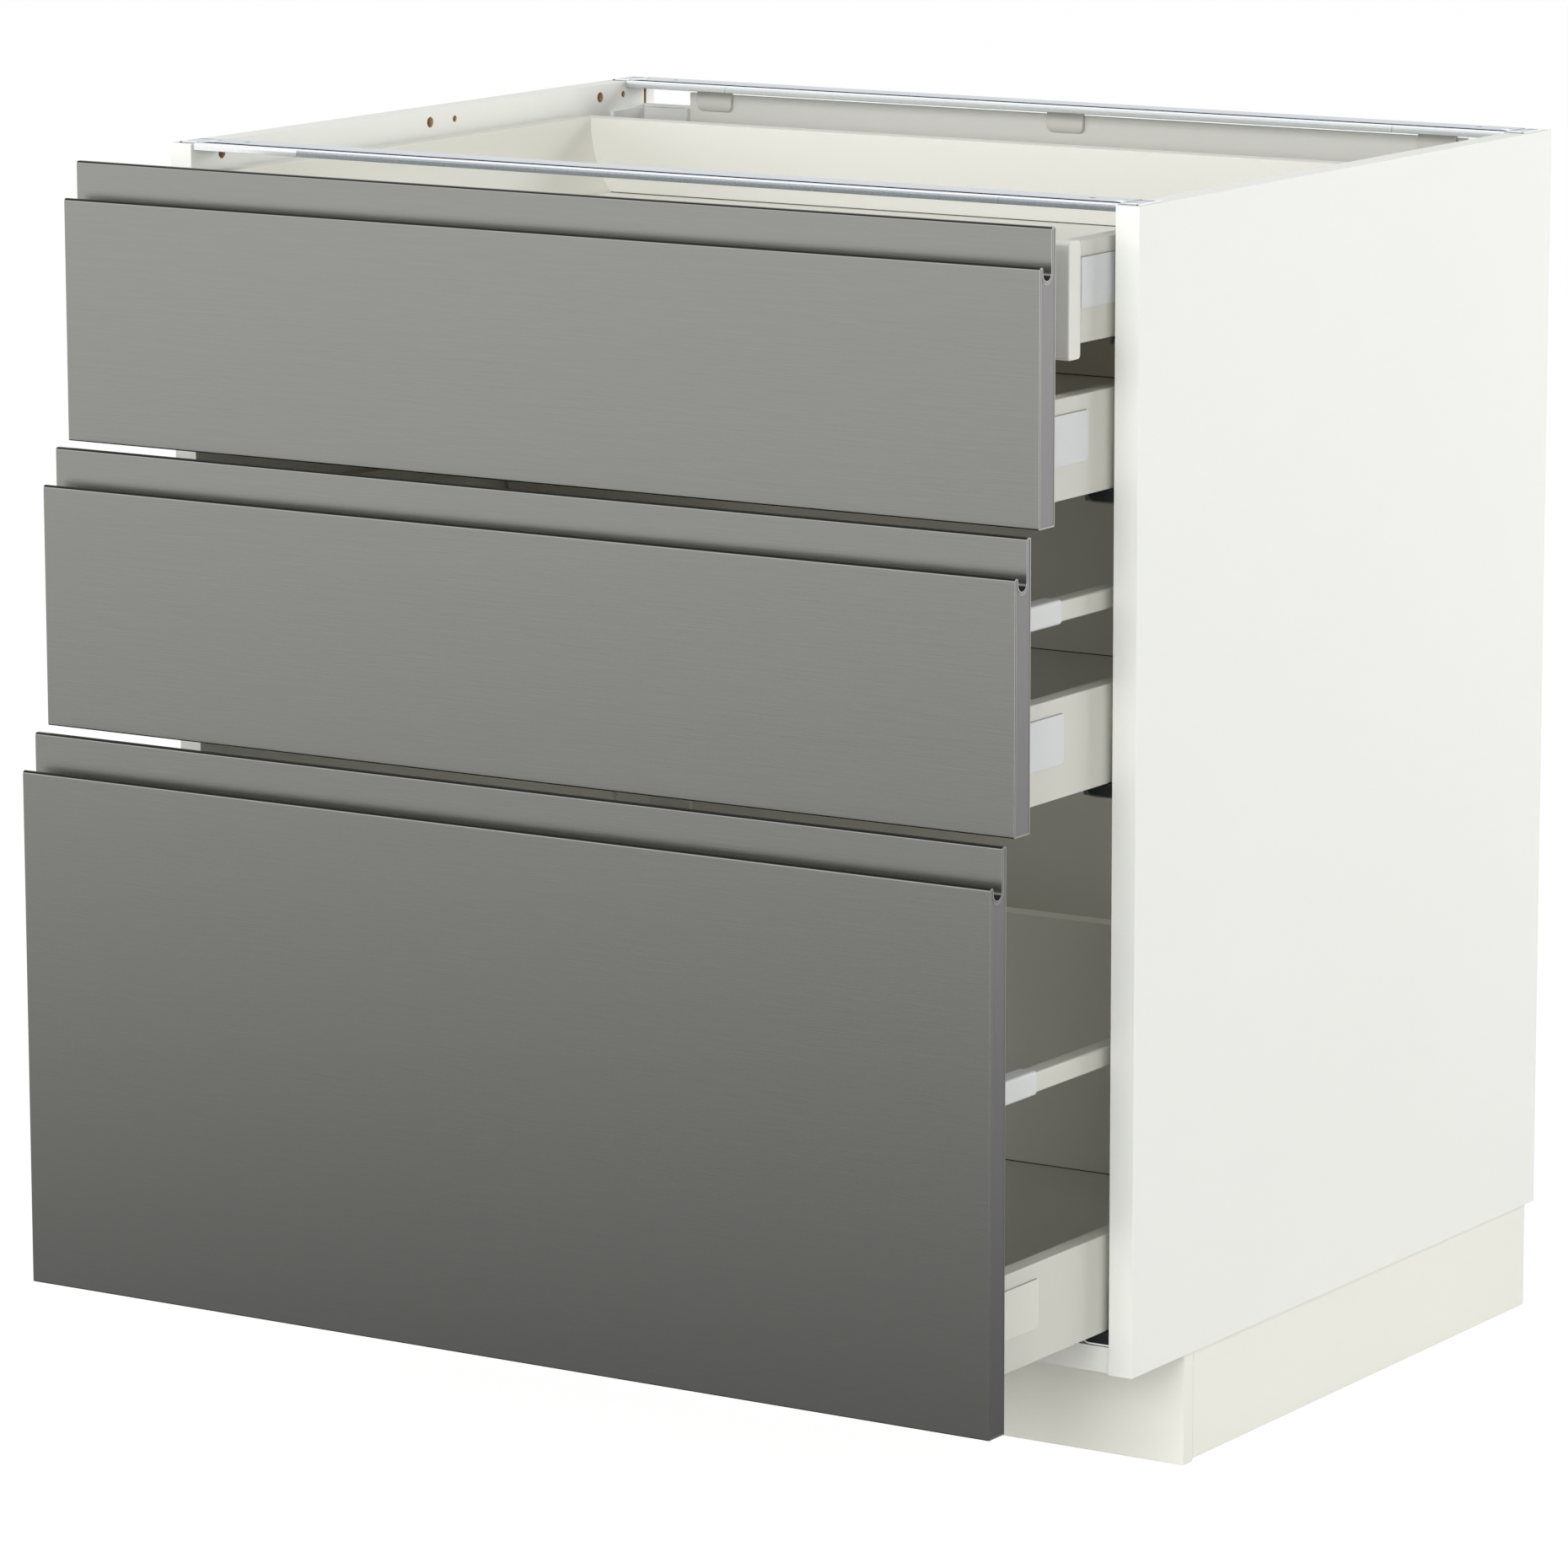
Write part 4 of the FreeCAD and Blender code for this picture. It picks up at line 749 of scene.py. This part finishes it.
for name in DRAWERS:
    node, body = "drawer_%s_back" % name, "drawer_" + name
    low, high = edges(node)
    side_low, side_high = edges("drawer_%s_side_right" % name)
    section = back_section(side_low, side_high, low, high)
    profile("drawer_back_board_" + name, section, low[1], high[1], "y", body, CREAM_BOARD,
            [node], soft=0.5)
    foot = side_high[0] - SPREAD
    floor = side_low[2] + FLOOR_ABOVE
    # Painted shade: a thin dark strip in the seam between the back and the floor
    profile("back_seam_shade_" + name, rectangle((-foot, floor - SEAM_SINK), (foot, floor + SEAM)),
            low[1] - SEAM_PROUD, low[1] + SEAM_DEEP, "y", body, SEAM_SHADE,
            soft=0)
print("drawer backs:", len(section), "points in the section")

# %% [markdown]
# The cover caps at the front ends of the drawer sides, each with a thin grey strip of painted
# shade along its top crease, and on the two deeper drawers the railings with the sleeves on
# their front ends.

# %% Caps, railings and sleeves
CAP_ROUND = (0.6, 3, 3, 0.6)
CREASE_PROUD = 0.02
CREASE_DEEP = 1
CREASE_LOW = 0.1
CREASE_HIGH = 0.5
CREASE_SHORT = 3
RAILING_ROUND = 1.6
RAILING_START = 0.5
SLEEVE_ROUND = 2.4


def half_box(node, way):
    """The box of the right (way 1) or left (way -1) half of a node that holds a pair."""
    points = triples(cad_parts[node].data.vertices, "co") / MM
    half = points[points[:, 0] * way > 0]
    return half.min(0), half.max(0)


for name in DRAWERS:
    body = "drawer_" + name
    for side, way in SIDES:
        label = "_%s_%s" % (name, side)
        node = "drawer_%s_caps" % name
        low, high = half_box(node, way)
        profile("cap" + label, rectangle(low[1:], high[1:], CAP_ROUND), low[0], high[0], "x",
                body, CAP_CREAM if name == "high" else CAP_PLASTIC, [node],
                soft=0.25)
        face = high[0] if way > 0 else low[0]
        # Painted shade: a thin grey strip along the top crease of the cap
        start, end = sorted((face + way * CREASE_PROUD, face - way * CREASE_DEEP))
        line = rectangle((low[1], high[2] - CREASE_LOW),
                         (high[1] - CREASE_SHORT, high[2] + CREASE_HIGH))
        profile("cap_crease_shade" + label, line, start, end, "x", body, CREASE_SHADE,
                soft=0)
        if name in ("inner", "low"):
            continue
        node = "drawer_%s_side_rails" % name
        low, high = half_box(node, way)
        profile("railing" + label, rectangle(low[::2], high[::2], RAILING_ROUND),
                low[1] + RAILING_START, high[1], "y", body, COATED_STEEL,
                [node], soft=0.4)
        node = "drawer_%s_rail_brackets" % name
        low, high = half_box(node, way)
        profile("sleeve" + label, rectangle(low[::2], high[::2], SLEEVE_ROUND), low[1],
                high[1], "y", body, BRACKET_PLASTIC, [node], soft=0.6,
                segments=3)

# %% [markdown]
# The top rails are folded from galvanised sheet: a front flange with a rounded lip, a narrow
# groove, the flat top and a rear flange. An end piece of the same section continues each end
# and has a tongue that lies on the edge of the side panel.

# %% The top rails and their end pieces
RAIL_SHEET = 1
NOSE = 8
SLOT = 3.5
SLOT_DEEP = 3.8
NOSE_LOW = 0.6
NOSE_HIGH = 5.5
RAIL_JOINT = 0.15
FLUSH = 0.05
PANEL_INSIDE = round(float(edges("side_panel_right")[0][0]), 3)
END_GAP = 0.4
TAB_OFFSET = 3
TAB_LONG = 16
TAB_WIDE = 29
TAB_LAP = 0.2
TAB_MARGIN = 1
TAB_GAP = 0.1
TAB_LIFT = 0.02
TAB_FLOOR = 0.45
TAB_SHADE = 0.5
FRONT_RIM = 4
FAR_RIM = 2.2
NOTCH_WIDE = 1
NOTCH_DEEP = 6
TAB_SLOT_START = 0.3
TAB_SLOT_IN = 3
TAB_SLOT_WIDE = 1.5
HEEL = [(-11, 12), (-0.6, 4), (-4, 17)]
HEEL_THICK = 0.5


def rail_section(front, rear, bottom, top):
    """Section of a rail as rounded points (Y, Z)."""
    slot, lip, floor = front + NOSE, top - NOSE_LOW, top - SLOT_DEEP
    behind, sheet = slot + SLOT, RAIL_SHEET
    return rounded([
        (front, top - NOSE_HIGH, 0.3), (front, lip, 2), (slot, lip, 0.5), (slot, floor, 0.2),
        (behind, floor, 0.2), (behind, top, 0.6), (rear, top, 1.2), (rear, bottom, 0.3),
        (rear - sheet, bottom, 0.3), (rear - sheet, top - sheet, 0.5),
        (behind + sheet, top - sheet, 0.2), (behind + sheet, floor - sheet, 0.5),
        (slot - sheet, floor - sheet, 0.5), (slot - sheet, lip - sheet, 0.2),
        (front + sheet, lip - sheet, 1), (front + sheet, top - NOSE_HIGH, 0.3),
    ])


def rail_tab(name, side, way, front, top):
    """The tongue of an end piece on the panel's edge: a recess between raised rims."""
    near, far, rear = PANEL_INSIDE - TAB_LAP, PANEL_INSIDE + TAB_LONG, front + TAB_WIDE
    notch, slot = far - FAR_RIM - TAB_GAP, rear - TAB_SLOT_IN
    inner, low, crest = front + TAB_MARGIN, top - RAIL_SHEET, top - FLUSH
    lift, shade = low + TAB_LIFT, low + TAB_SHADE
    # The rims and the heel get a painted highlight, and thin dark plates lie in the notch and
    # along the rear slot as painted shade
    plates = [
        ("floor", rectangle((near, inner), (far - TAB_MARGIN, rear - TAB_MARGIN),
                            (0.2, 0.5, 0.5, 0.2)), lift, low + TAB_FLOOR, GALVANISED),
        ("front_rim", rectangle((near, inner), (notch - NOTCH_WIDE - TAB_GAP,
                                                inner + FRONT_RIM), (0.3, 0.3, 0.5, 0.3)),
         lift, crest, ZINC_PAINTED_HIGHLIGHT),
        ("far_rim", rectangle((far - FAR_RIM, front), (far, rear), (0.5, 0.9, 0.9, 0.5)),
         lift, crest, ZINC_PAINTED_HIGHLIGHT),
        ("notch", rectangle((notch - NOTCH_WIDE, front), (notch, front + NOTCH_DEEP), 0.3),
         lift, shade, SLOT_SHADE),
        ("rear_slot", rectangle((near + TAB_SLOT_START, slot),
                                (notch - TAB_GAP, slot + TAB_SLOT_WIDE), 0.3),
         low + TAB_GAP, shade, SLOT_SHADE),
        ("heel", [(near + x, front + y, 0) for x, y in HEEL], top - HEEL_THICK, top,
         ZINC_PAINTED_HIGHLIGHT),
    ]
    for part, corners, start, end, material in plates:
        profile("tab_%s_%s_%s" % (part, name, side), mirrored(corners, way), start, end, "z",
                "cabinet", material, soft=0.12)

# %% [markdown]
# A rail gets its finishes by the place of each face: painted shade on the walls of the groove,
# a painted highlight on the lip, and on the front rail's flange a darker copy of the zinc as
# painted shade, on the rear rail's a paler copy as painted light. Then booleans with small
# cylinders cut two round holes into each end piece.

# %% Painted shade, painted light and holes of the rails
HOLE_POINTS = 20
HOLE_REACH = 3
SCREW_IN, SCREW_RADIUS = 32, 2.5
PIN_IN, PIN_BACK, PIN_RADIUS = 7, 23.2, 1.6
CLOSE = 0.1
GROOVE_RIM = 0.3
FLANGE_DEEP = 2.1
FACES_UP = 0.72
FACES_DOWN = -0.5


def carve(obj, holes, level):
    """Round holes (x, y, radius) cut through a sheet at a level, by a boolean.

    Each cutter is a ring of points (x + r cos t, y + r sin t) carried through the sheet.
    """
    turn = np.linspace(0, 2 * math.pi, HOLE_POINTS, endpoint=False)
    ends = [list(range(HOLE_POINTS - 1, -1, -1)), list(range(HOLE_POINTS, 2 * HOLE_POINTS))]
    for x, y, radius in holes:
        ring = np.stack([x + radius * np.cos(turn), y + radius * np.sin(turn)], 1)
        points = swept(ring, (level - HOLE_REACH, level + HOLE_REACH), "z")
        mesh = bpy.data.meshes.new("cutter")
        mesh.from_pydata((points.reshape(-1, 3) * MM).tolist(), [],
                         grid_faces(2, HOLE_POINTS) + ends)
        cutter = placed("cutter", mesh)
        step = obj.modifiers.new("hole", "BOOLEAN")
        step.object = cutter
        step.solver = "EXACT"
        bpy.context.view_layer.update()
        others = [m for m in obj.modifiers if m.type != "BOOLEAN"]
        for modifier in others:
            modifier.show_viewport = modifier.show_render = False
        made = bpy.data.meshes.new_from_object(
            obj.evaluated_get(bpy.context.evaluated_depsgraph_get()))
        for modifier in others:
            modifier.show_viewport = modifier.show_render = True
        obj.modifiers.remove(step)
        obj.data = made
        bpy.data.objects.remove(cutter)


def rail_painted_light_and_shade(obj, front, top, flange_finish):
    """Finishes by the place of a face: painted shade in the groove, a painted tone on the front
    flange, a painted highlight on the lip, and plain zinc on the flat top.
    """
    _, y, z = (triples(obj.data.polygons, "center") / MM).T
    up = triples(obj.data.polygons, "normal")[:, 2]
    slot = front + NOSE
    # Painted shade on the groove's walls, a painted highlight on the lip, a painted tone on the
    # flange
    groove = ((y > slot - CLOSE) & (y < slot + SLOT + CLOSE) & (z < top - GROOVE_RIM)
              & (z > top - SLOT_DEEP - CLOSE))
    flange = (y < front + FLANGE_DEEP) & (up < FACES_UP) & (up > FACES_DOWN)
    lip = (y < slot - CLOSE) & (up >= FACES_UP)
    refinished(obj, np.select([groove, flange, lip], [1, 2, 3], 0), SLOT_SHADE,
               flange_finish, ZINC_PAINTED_HIGHLIGHT)


# Painted tones of the end pieces' flanges: painted shade at the front right, a painted highlight
# at the front left, painted light at the rear
END_FLANGE_PAINTED_TONES = {"front_right": ZINC_PAINTED_SHADE, "front_left": ZINC_PAINTED_HIGHLIGHT}
for name in ("front", "rear"):
    low, high = edges("top_rail_" + name)
    section = rail_section(low[1], high[1], low[2], high[2] - FLUSH)
    rail = profile("rail_" + name, section, low[0], high[0], "x", "cabinet", GALVANISED,
                   ["top_rail_" + name], soft=0.15)
    # The front rail's flange gets painted shade, the rear rail's painted light
    rail_painted_light_and_shade(rail, low[1], high[2], ZINC_PAINTED_SHADE if name == "front" else ZINC_PAINTED_LIGHT)
    screw_y = (low[1] + high[1] + NOSE + SLOT) / 2
    for side, way in SIDES:
        label = "%s_%s" % (name, side)
        start, end = sorted((way * (high[0] + RAIL_JOINT), way * (PANEL_INSIDE - END_GAP)))
        shell = profile("rail_end_" + label, section, start, end, "x", "cabinet", GALVANISED,
                        ["rail_end_connectors"], soft=0.3)
        rail_painted_light_and_shade(shell, low[1], high[2], END_FLANGE_PAINTED_TONES.get(label, ZINC_PAINTED_LIGHT))
        carve(shell, [(way * (PANEL_INSIDE - SCREW_IN), screw_y, SCREW_RADIUS),
                      (way * (PANEL_INSIDE - PIN_IN), low[1] + PIN_BACK, PIN_RADIUS)], high[2])
        rail_tab(name, side, way, low[1] + TAB_OFFSET, high[2])
        print("rail end", label, "with", len(shell.data.polygons), "faces")

# %% [markdown]
# The plastic parts in the rear corners and on the rear rail. A corner profile has two thin
# leaves with rounded edges. A clip is a hanging tongue: flat at the top, with a crease a third
# down, a bulge below it, and well rounded lower corners.

# %% Corner profiles and clips
LEAF_SIDE = 3.5
LEAF_BACK = 4.5
CLIP_ROUND = 4.5
CLIP_WIDE = 32
CLIP_STEPS = 7
# Round a clip's section: how far down (0 at the top, 1 at the bottom) and how far forward
CLIP_DOWN = np.array([0, 0.3, 0.36, 0.44, 0.6, 0.8, 0.93, 1, 1, 0.5, 0])
CLIP_FORWARD = np.array([0.35, 0.35, 0.2, 0.55, 0.9, 1, 0.85, 0.45, 0, 0, 0])

low, high = half_box("back_corner_profiles", 1)
corners = [(low[0], high[1], 0.5), (low[0], high[1] - LEAF_BACK, 1.6),
           (high[0] - LEAF_SIDE, high[1] - LEAF_BACK, 1.2), (high[0] - LEAF_SIDE, low[1], 1.2),
           (high[0], low[1], 0.8), (high[0], high[1], 0.3)]
for side, way in SIDES:
    profile("corner_profile_" + side, mirrored(corners, way), low[2], high[2], "z", "cabinet",
            CORNER_PLASTIC, ["back_corner_profiles"], soft=0.6, segments=3)


def clip(name, start, end, front, rear, bottom, top):
    """A clip as a grid: stations along X, each with the same section in depth and height.

    Near the ends the bottom rises by radius - sqrt(radius^2 - (radius - distance)^2), which
    rounds the lower corners.
    """
    turn = np.linspace(0, math.pi / 2, CLIP_STEPS)
    offset = CLIP_ROUND * (1 - np.cos(turn))
    across = np.concatenate([start + offset, (end - offset)[::-1]])
    lift = CLIP_ROUND * (1 - np.sin(turn))
    lowest = bottom + np.concatenate([lift, lift[::-1]])
    rows, columns = len(across), len(CLIP_DOWN)
    points = np.empty((rows, columns, 3))
    points[:, :, 0] = across[:, None]
    points[:, :, 1] = rear - CLIP_FORWARD * (rear - front)
    points[:, :, 2] = top - CLIP_DOWN * (top - lowest[:, None])
    faces = [face[::-1] for face in grid_faces(rows, columns)]
    last = rows * columns
    faces += [list(range(columns)), list(range(last - 1, last - columns - 1, -1))]
    piece(name, points, faces, "cabinet", CLIP_PLASTIC, ["back_panel_clips"],
          soft=0.35)


low, high = edges("back_panel_clips")
for name, start in (("left", low[0]), ("middle", -CLIP_WIDE / 2),
                    ("right", high[0] - CLIP_WIDE)):
    clip("clip_" + name, start, start + CLIP_WIDE, low[1], high[1], low[2], high[2])
print("clips:", len(CLIP_DOWN), "points in the section")

# %% [markdown]
# A black guide closes the front end of each fixed runner. The sheet of the runner wraps round
# its lower edge and shows as a thin bright line, with a painted highlight at the lowest guide.

# %% Runner guides
WRAP = 1.2
WRAP_ROUND = 5
WRAP_SET_BACK = 0.4
WRAP_PAST_END = 0.5
GUIDE_REACH = 12
guide_points = triples(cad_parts["runner_front_guides"].data.vertices, "co") / MM
for name in DRAWERS:
    level = edges("drawer_%s_side_right" % name)[0][2]
    near = (guide_points[:, 0] > 0) & (np.abs(guide_points[:, 2] - level) < GUIDE_REACH)
    low, high = guide_points[near].min(0), guide_points[near].max(0)
    inside = low + WRAP
    plug = rectangle(inside[::2], high[::2], (WRAP_ROUND - WRAP, 0.3, 0.3, 1.2))
    wrap = [(low[0], high[2], 0.3), (low[0], low[2], WRAP_ROUND), (high[0], low[2], 0.3),
            (high[0], inside[2], 0.2), (inside[0], inside[2], WRAP_ROUND - WRAP),
            (inside[0], high[2], 0.3)]
    for side, way in SIDES:
        profile("guide_%s_%s" % (name, side), mirrored(plug, way), low[1], high[1], "y",
                "cabinet", BLACK_PLASTIC, ["runner_front_guides"], soft=0.9,
                segments=3)
        # Painted highlight: the wrap of the lowest runner gets a near white finish
        profile("runner_wrap_%s_%s" % (name, side), mirrored(wrap, way),
                low[1] + WRAP_SET_BACK, high[1] + WRAP_PAST_END, "y", "cabinet",
                WRAP_PAINTED_HIGHLIGHT if name == "high" else RUNNER_STEEL, soft=0.2)
print("guide", [round(v, 1) for v in high - low], "mm")

# %% [markdown]
# The fittings, runners, legs and feet: their shape is whole in the CAD nodes, so each gets a
# merged copy with softened edges and its own finish.

# %% Fittings, runners and legs
SOFTENED = [
    ("cams", "cam_fittings", "cabinet", FITTING_METAL, "fitting_metal", 0.3),
    ("dowels", "frame_dowels", "cabinet", BEECH, "dowel_wood", 0.8),
    ("leg_tubes", "legs", "cabinet", LEG_PLASTIC, "leg_plastic", 0.8),
    ("plinth_clamps", "plinth_clips", "cabinet", LEG_PLASTIC, "leg_plastic", 0.6),
    ("fixed_runners", "runners_fixed", "cabinet", RUNNER_STEEL, "runner_steel", 0.35),
    ("dampers", "runner_dampers", "cabinet", DAMPER_PLASTIC, "damper_plastic", 0.6),
    ("screws", "runner_screws", "cabinet", SCREW_STEEL, "screw_steel", 0.35),
]
for corner in ("front_left", "front_right", "rear_left", "rear_right"):
    SOFTENED.append(("foot_disc_" + corner, "foot_" + corner, "foot_" + corner, LEG_PLASTIC,
                     "leg_plastic", 0.8))
for name in DRAWERS:
    SOFTENED.append(("middle_runner_" + name, "runner_middle_" + name, "middle_runners_" + name,
                     RUNNER_STEEL, "runner_steel", 0.3))
    SOFTENED.append(("fittings_" + name, "drawer_%s_fittings" % name, "drawer_" + name,
                     RUNNER_STEEL, "runner_steel", 0.3))
for name, node, body, material, slot, soft in SOFTENED:
    copied(name, node, body, material, soft)
print("softened copies:", len(SOFTENED))

# %% [markdown]
# The studio: a pale floor that shows white to the camera and keeps a soft shadow, and wide
# soft lamps. The steel grows darker towards the floor, so to glossy rays the floor shows a
# painted shade: a radial gradient, dark close to the cabinet, which the steel reflects.

# %% The floor
FLOOR_HALF = 40
FLOOR_WHITE = linear(235, 235, 233)
FLOOR_GLOW = 1.075
SHADOW_SHARE = 0.9
# Painted shade for glossy rays: the darkest tone of the floor's gradient, close to the cabinet
GLOSS_PAINTED_SHADE = 0.12
GLOSS_NEAR = 0.3
GLOSS_FAR = 5.9
GLOSS_CENTRE = (0.1, -0.15, 0)
PURE_WHITE = (1, 1, 1, 1)


def floor_material():
    """White to the camera with some of the shadow kept, and to gloss a radial painted shade."""
    material = bpy.data.materials.new("studio_floor")
    material.use_nodes = True
    tree = material.node_tree
    tree.nodes.clear()
    diffuse = add(tree, "BsdfDiffuse", in_Color=FLOOR_WHITE)
    white = add(tree, "Emission", in_Color=PURE_WHITE, in_Strength=FLOOR_GLOW)
    rays = add(tree, "LightPath")
    seen = math_node(tree, "MAXIMUM", rays.outputs["Is Camera Ray"],
                     rays.outputs["Is Transmission Ray"])
    share = math_node(tree, "MULTIPLY", seen, SHADOW_SHARE)
    plain = add(tree, "MixShader", in_0=share, in_1=diffuse.outputs[0], in_2=white.outputs[0])
    # Glossy rays see a painted shade: a gradient from dark near the cabinet to white far off
    place = add(tree, "TexCoord")
    aside = add(tree, "VectorMath", operation="SUBTRACT", in_0=place.outputs["Object"],
                in_1=GLOSS_CENTRE)
    far = add(tree, "VectorMath", operation="LENGTH", in_0=aside.outputs[0])
    grade = add(tree, "MapRange", in_0=far.outputs["Value"], in_1=GLOSS_NEAR, in_2=GLOSS_FAR,
                in_3=GLOSS_PAINTED_SHADE, in_4=1.0)
    gloss = add(tree, "Emission", in_Color=PURE_WHITE, in_Strength=grade.outputs[0])
    both = add(tree, "MixShader", in_0=rays.outputs["Is Glossy Ray"], in_1=plain.outputs[0],
               in_2=gloss.outputs[0])
    add(tree, "OutputMaterial", in_0=both.outputs[0])
    return material


floor_mesh = bpy.data.meshes.new("studio_floor")
floor_mesh.from_pydata([(-FLOOR_HALF, -FLOOR_HALF, 0), (FLOOR_HALF, -FLOOR_HALF, 0),
                        (FLOOR_HALF, FLOOR_HALF, 0), (-FLOOR_HALF, FLOOR_HALF, 0)], [],
                       [(0, 1, 2, 3)])
floor_mesh.materials.append(floor_material())
studio_floor = placed("studio_floor", floor_mesh)

# %% [markdown]
# The powers are the ones whose sum came nearest to the photograph. Wide weak lamps over the
# drawers stand for the light that bounces about there.

# %% Lamps and world
LAMPS = [
    ("key", (3.3, 4.8, 1.9), 0.4, 3.2, 226),
    ("front", (1.0, -5.2, 1.7), 0.4, 2.6, 164),
    ("front_left", (-3.6, -4.4, 1.7), 0.4, 2.6, 84),
    ("front_right", (3.8, -4.2, 1.7), 0.4, 2.6, 31),
    ("top", (0.0, -0.8, 4.0), 0.5, 2.6, 28),
]
BOUNCE_PLACE = 0.08
BOUNCE_SIZE = 0.55
BOUNCES = [(0.775, 0.064, (1, 0.92, 0.76)), (0.679, 0.1, (1, 0.94, 0.8)),
           (0.481, 0.17, (1, 0.97, 0.87))]
WORLD_LIGHT = 0.34


def lamp(name, spot, aim, size, power, tint=(1, 1, 1)):
    """A square area lamp at a spot that looks at a point."""
    data = bpy.data.lights.new(name, "AREA")
    data.shape = "SQUARE"
    data.size = size
    data.energy = power
    data.color = tint
    obj = placed(name, data)
    obj.location = spot
    obj.visible_glossy = False
    obj.rotation_euler = (Vector(aim) - Vector(spot)).to_track_quat("-Z", "Y").to_euler()
    return obj


for name, spot, height, side, power in LAMPS:
    lamp(name, spot, (0, 0, height), side, power)
for number, (level, power, tint) in enumerate(BOUNCES):
    bounce = lamp("bounce_%d" % number, (0, BOUNCE_PLACE, level), (0, BOUNCE_PLACE, 0),
                  BOUNCE_SIZE, power, tint)
    bounce.visible_camera = False

world = bpy.data.worlds.new("studio")
bpy.context.scene.world = world
world.use_nodes = True
sky = world.node_tree
sky.nodes.clear()
rays = add(sky, "LightPath")
seen = math_node(sky, "MAXIMUM", rays.outputs["Is Camera Ray"], rays.outputs["Is Glossy Ray"])
seen = math_node(sky, "MAXIMUM", seen, rays.outputs["Is Transmission Ray"])
strength = add(sky, "MapRange", in_0=seen, in_1=0.0, in_2=1.0, in_3=WORLD_LIGHT, in_4=1.0)
back = add(sky, "Background", in_Color=PURE_WHITE, in_Strength=strength.outputs[0])
add(sky, "OutputWorld", in_0=back.outputs[0])

bpy.context.scene.view_settings.view_transform = "Standard"
print("lamps:", len(LAMPS) + len(BOUNCES))
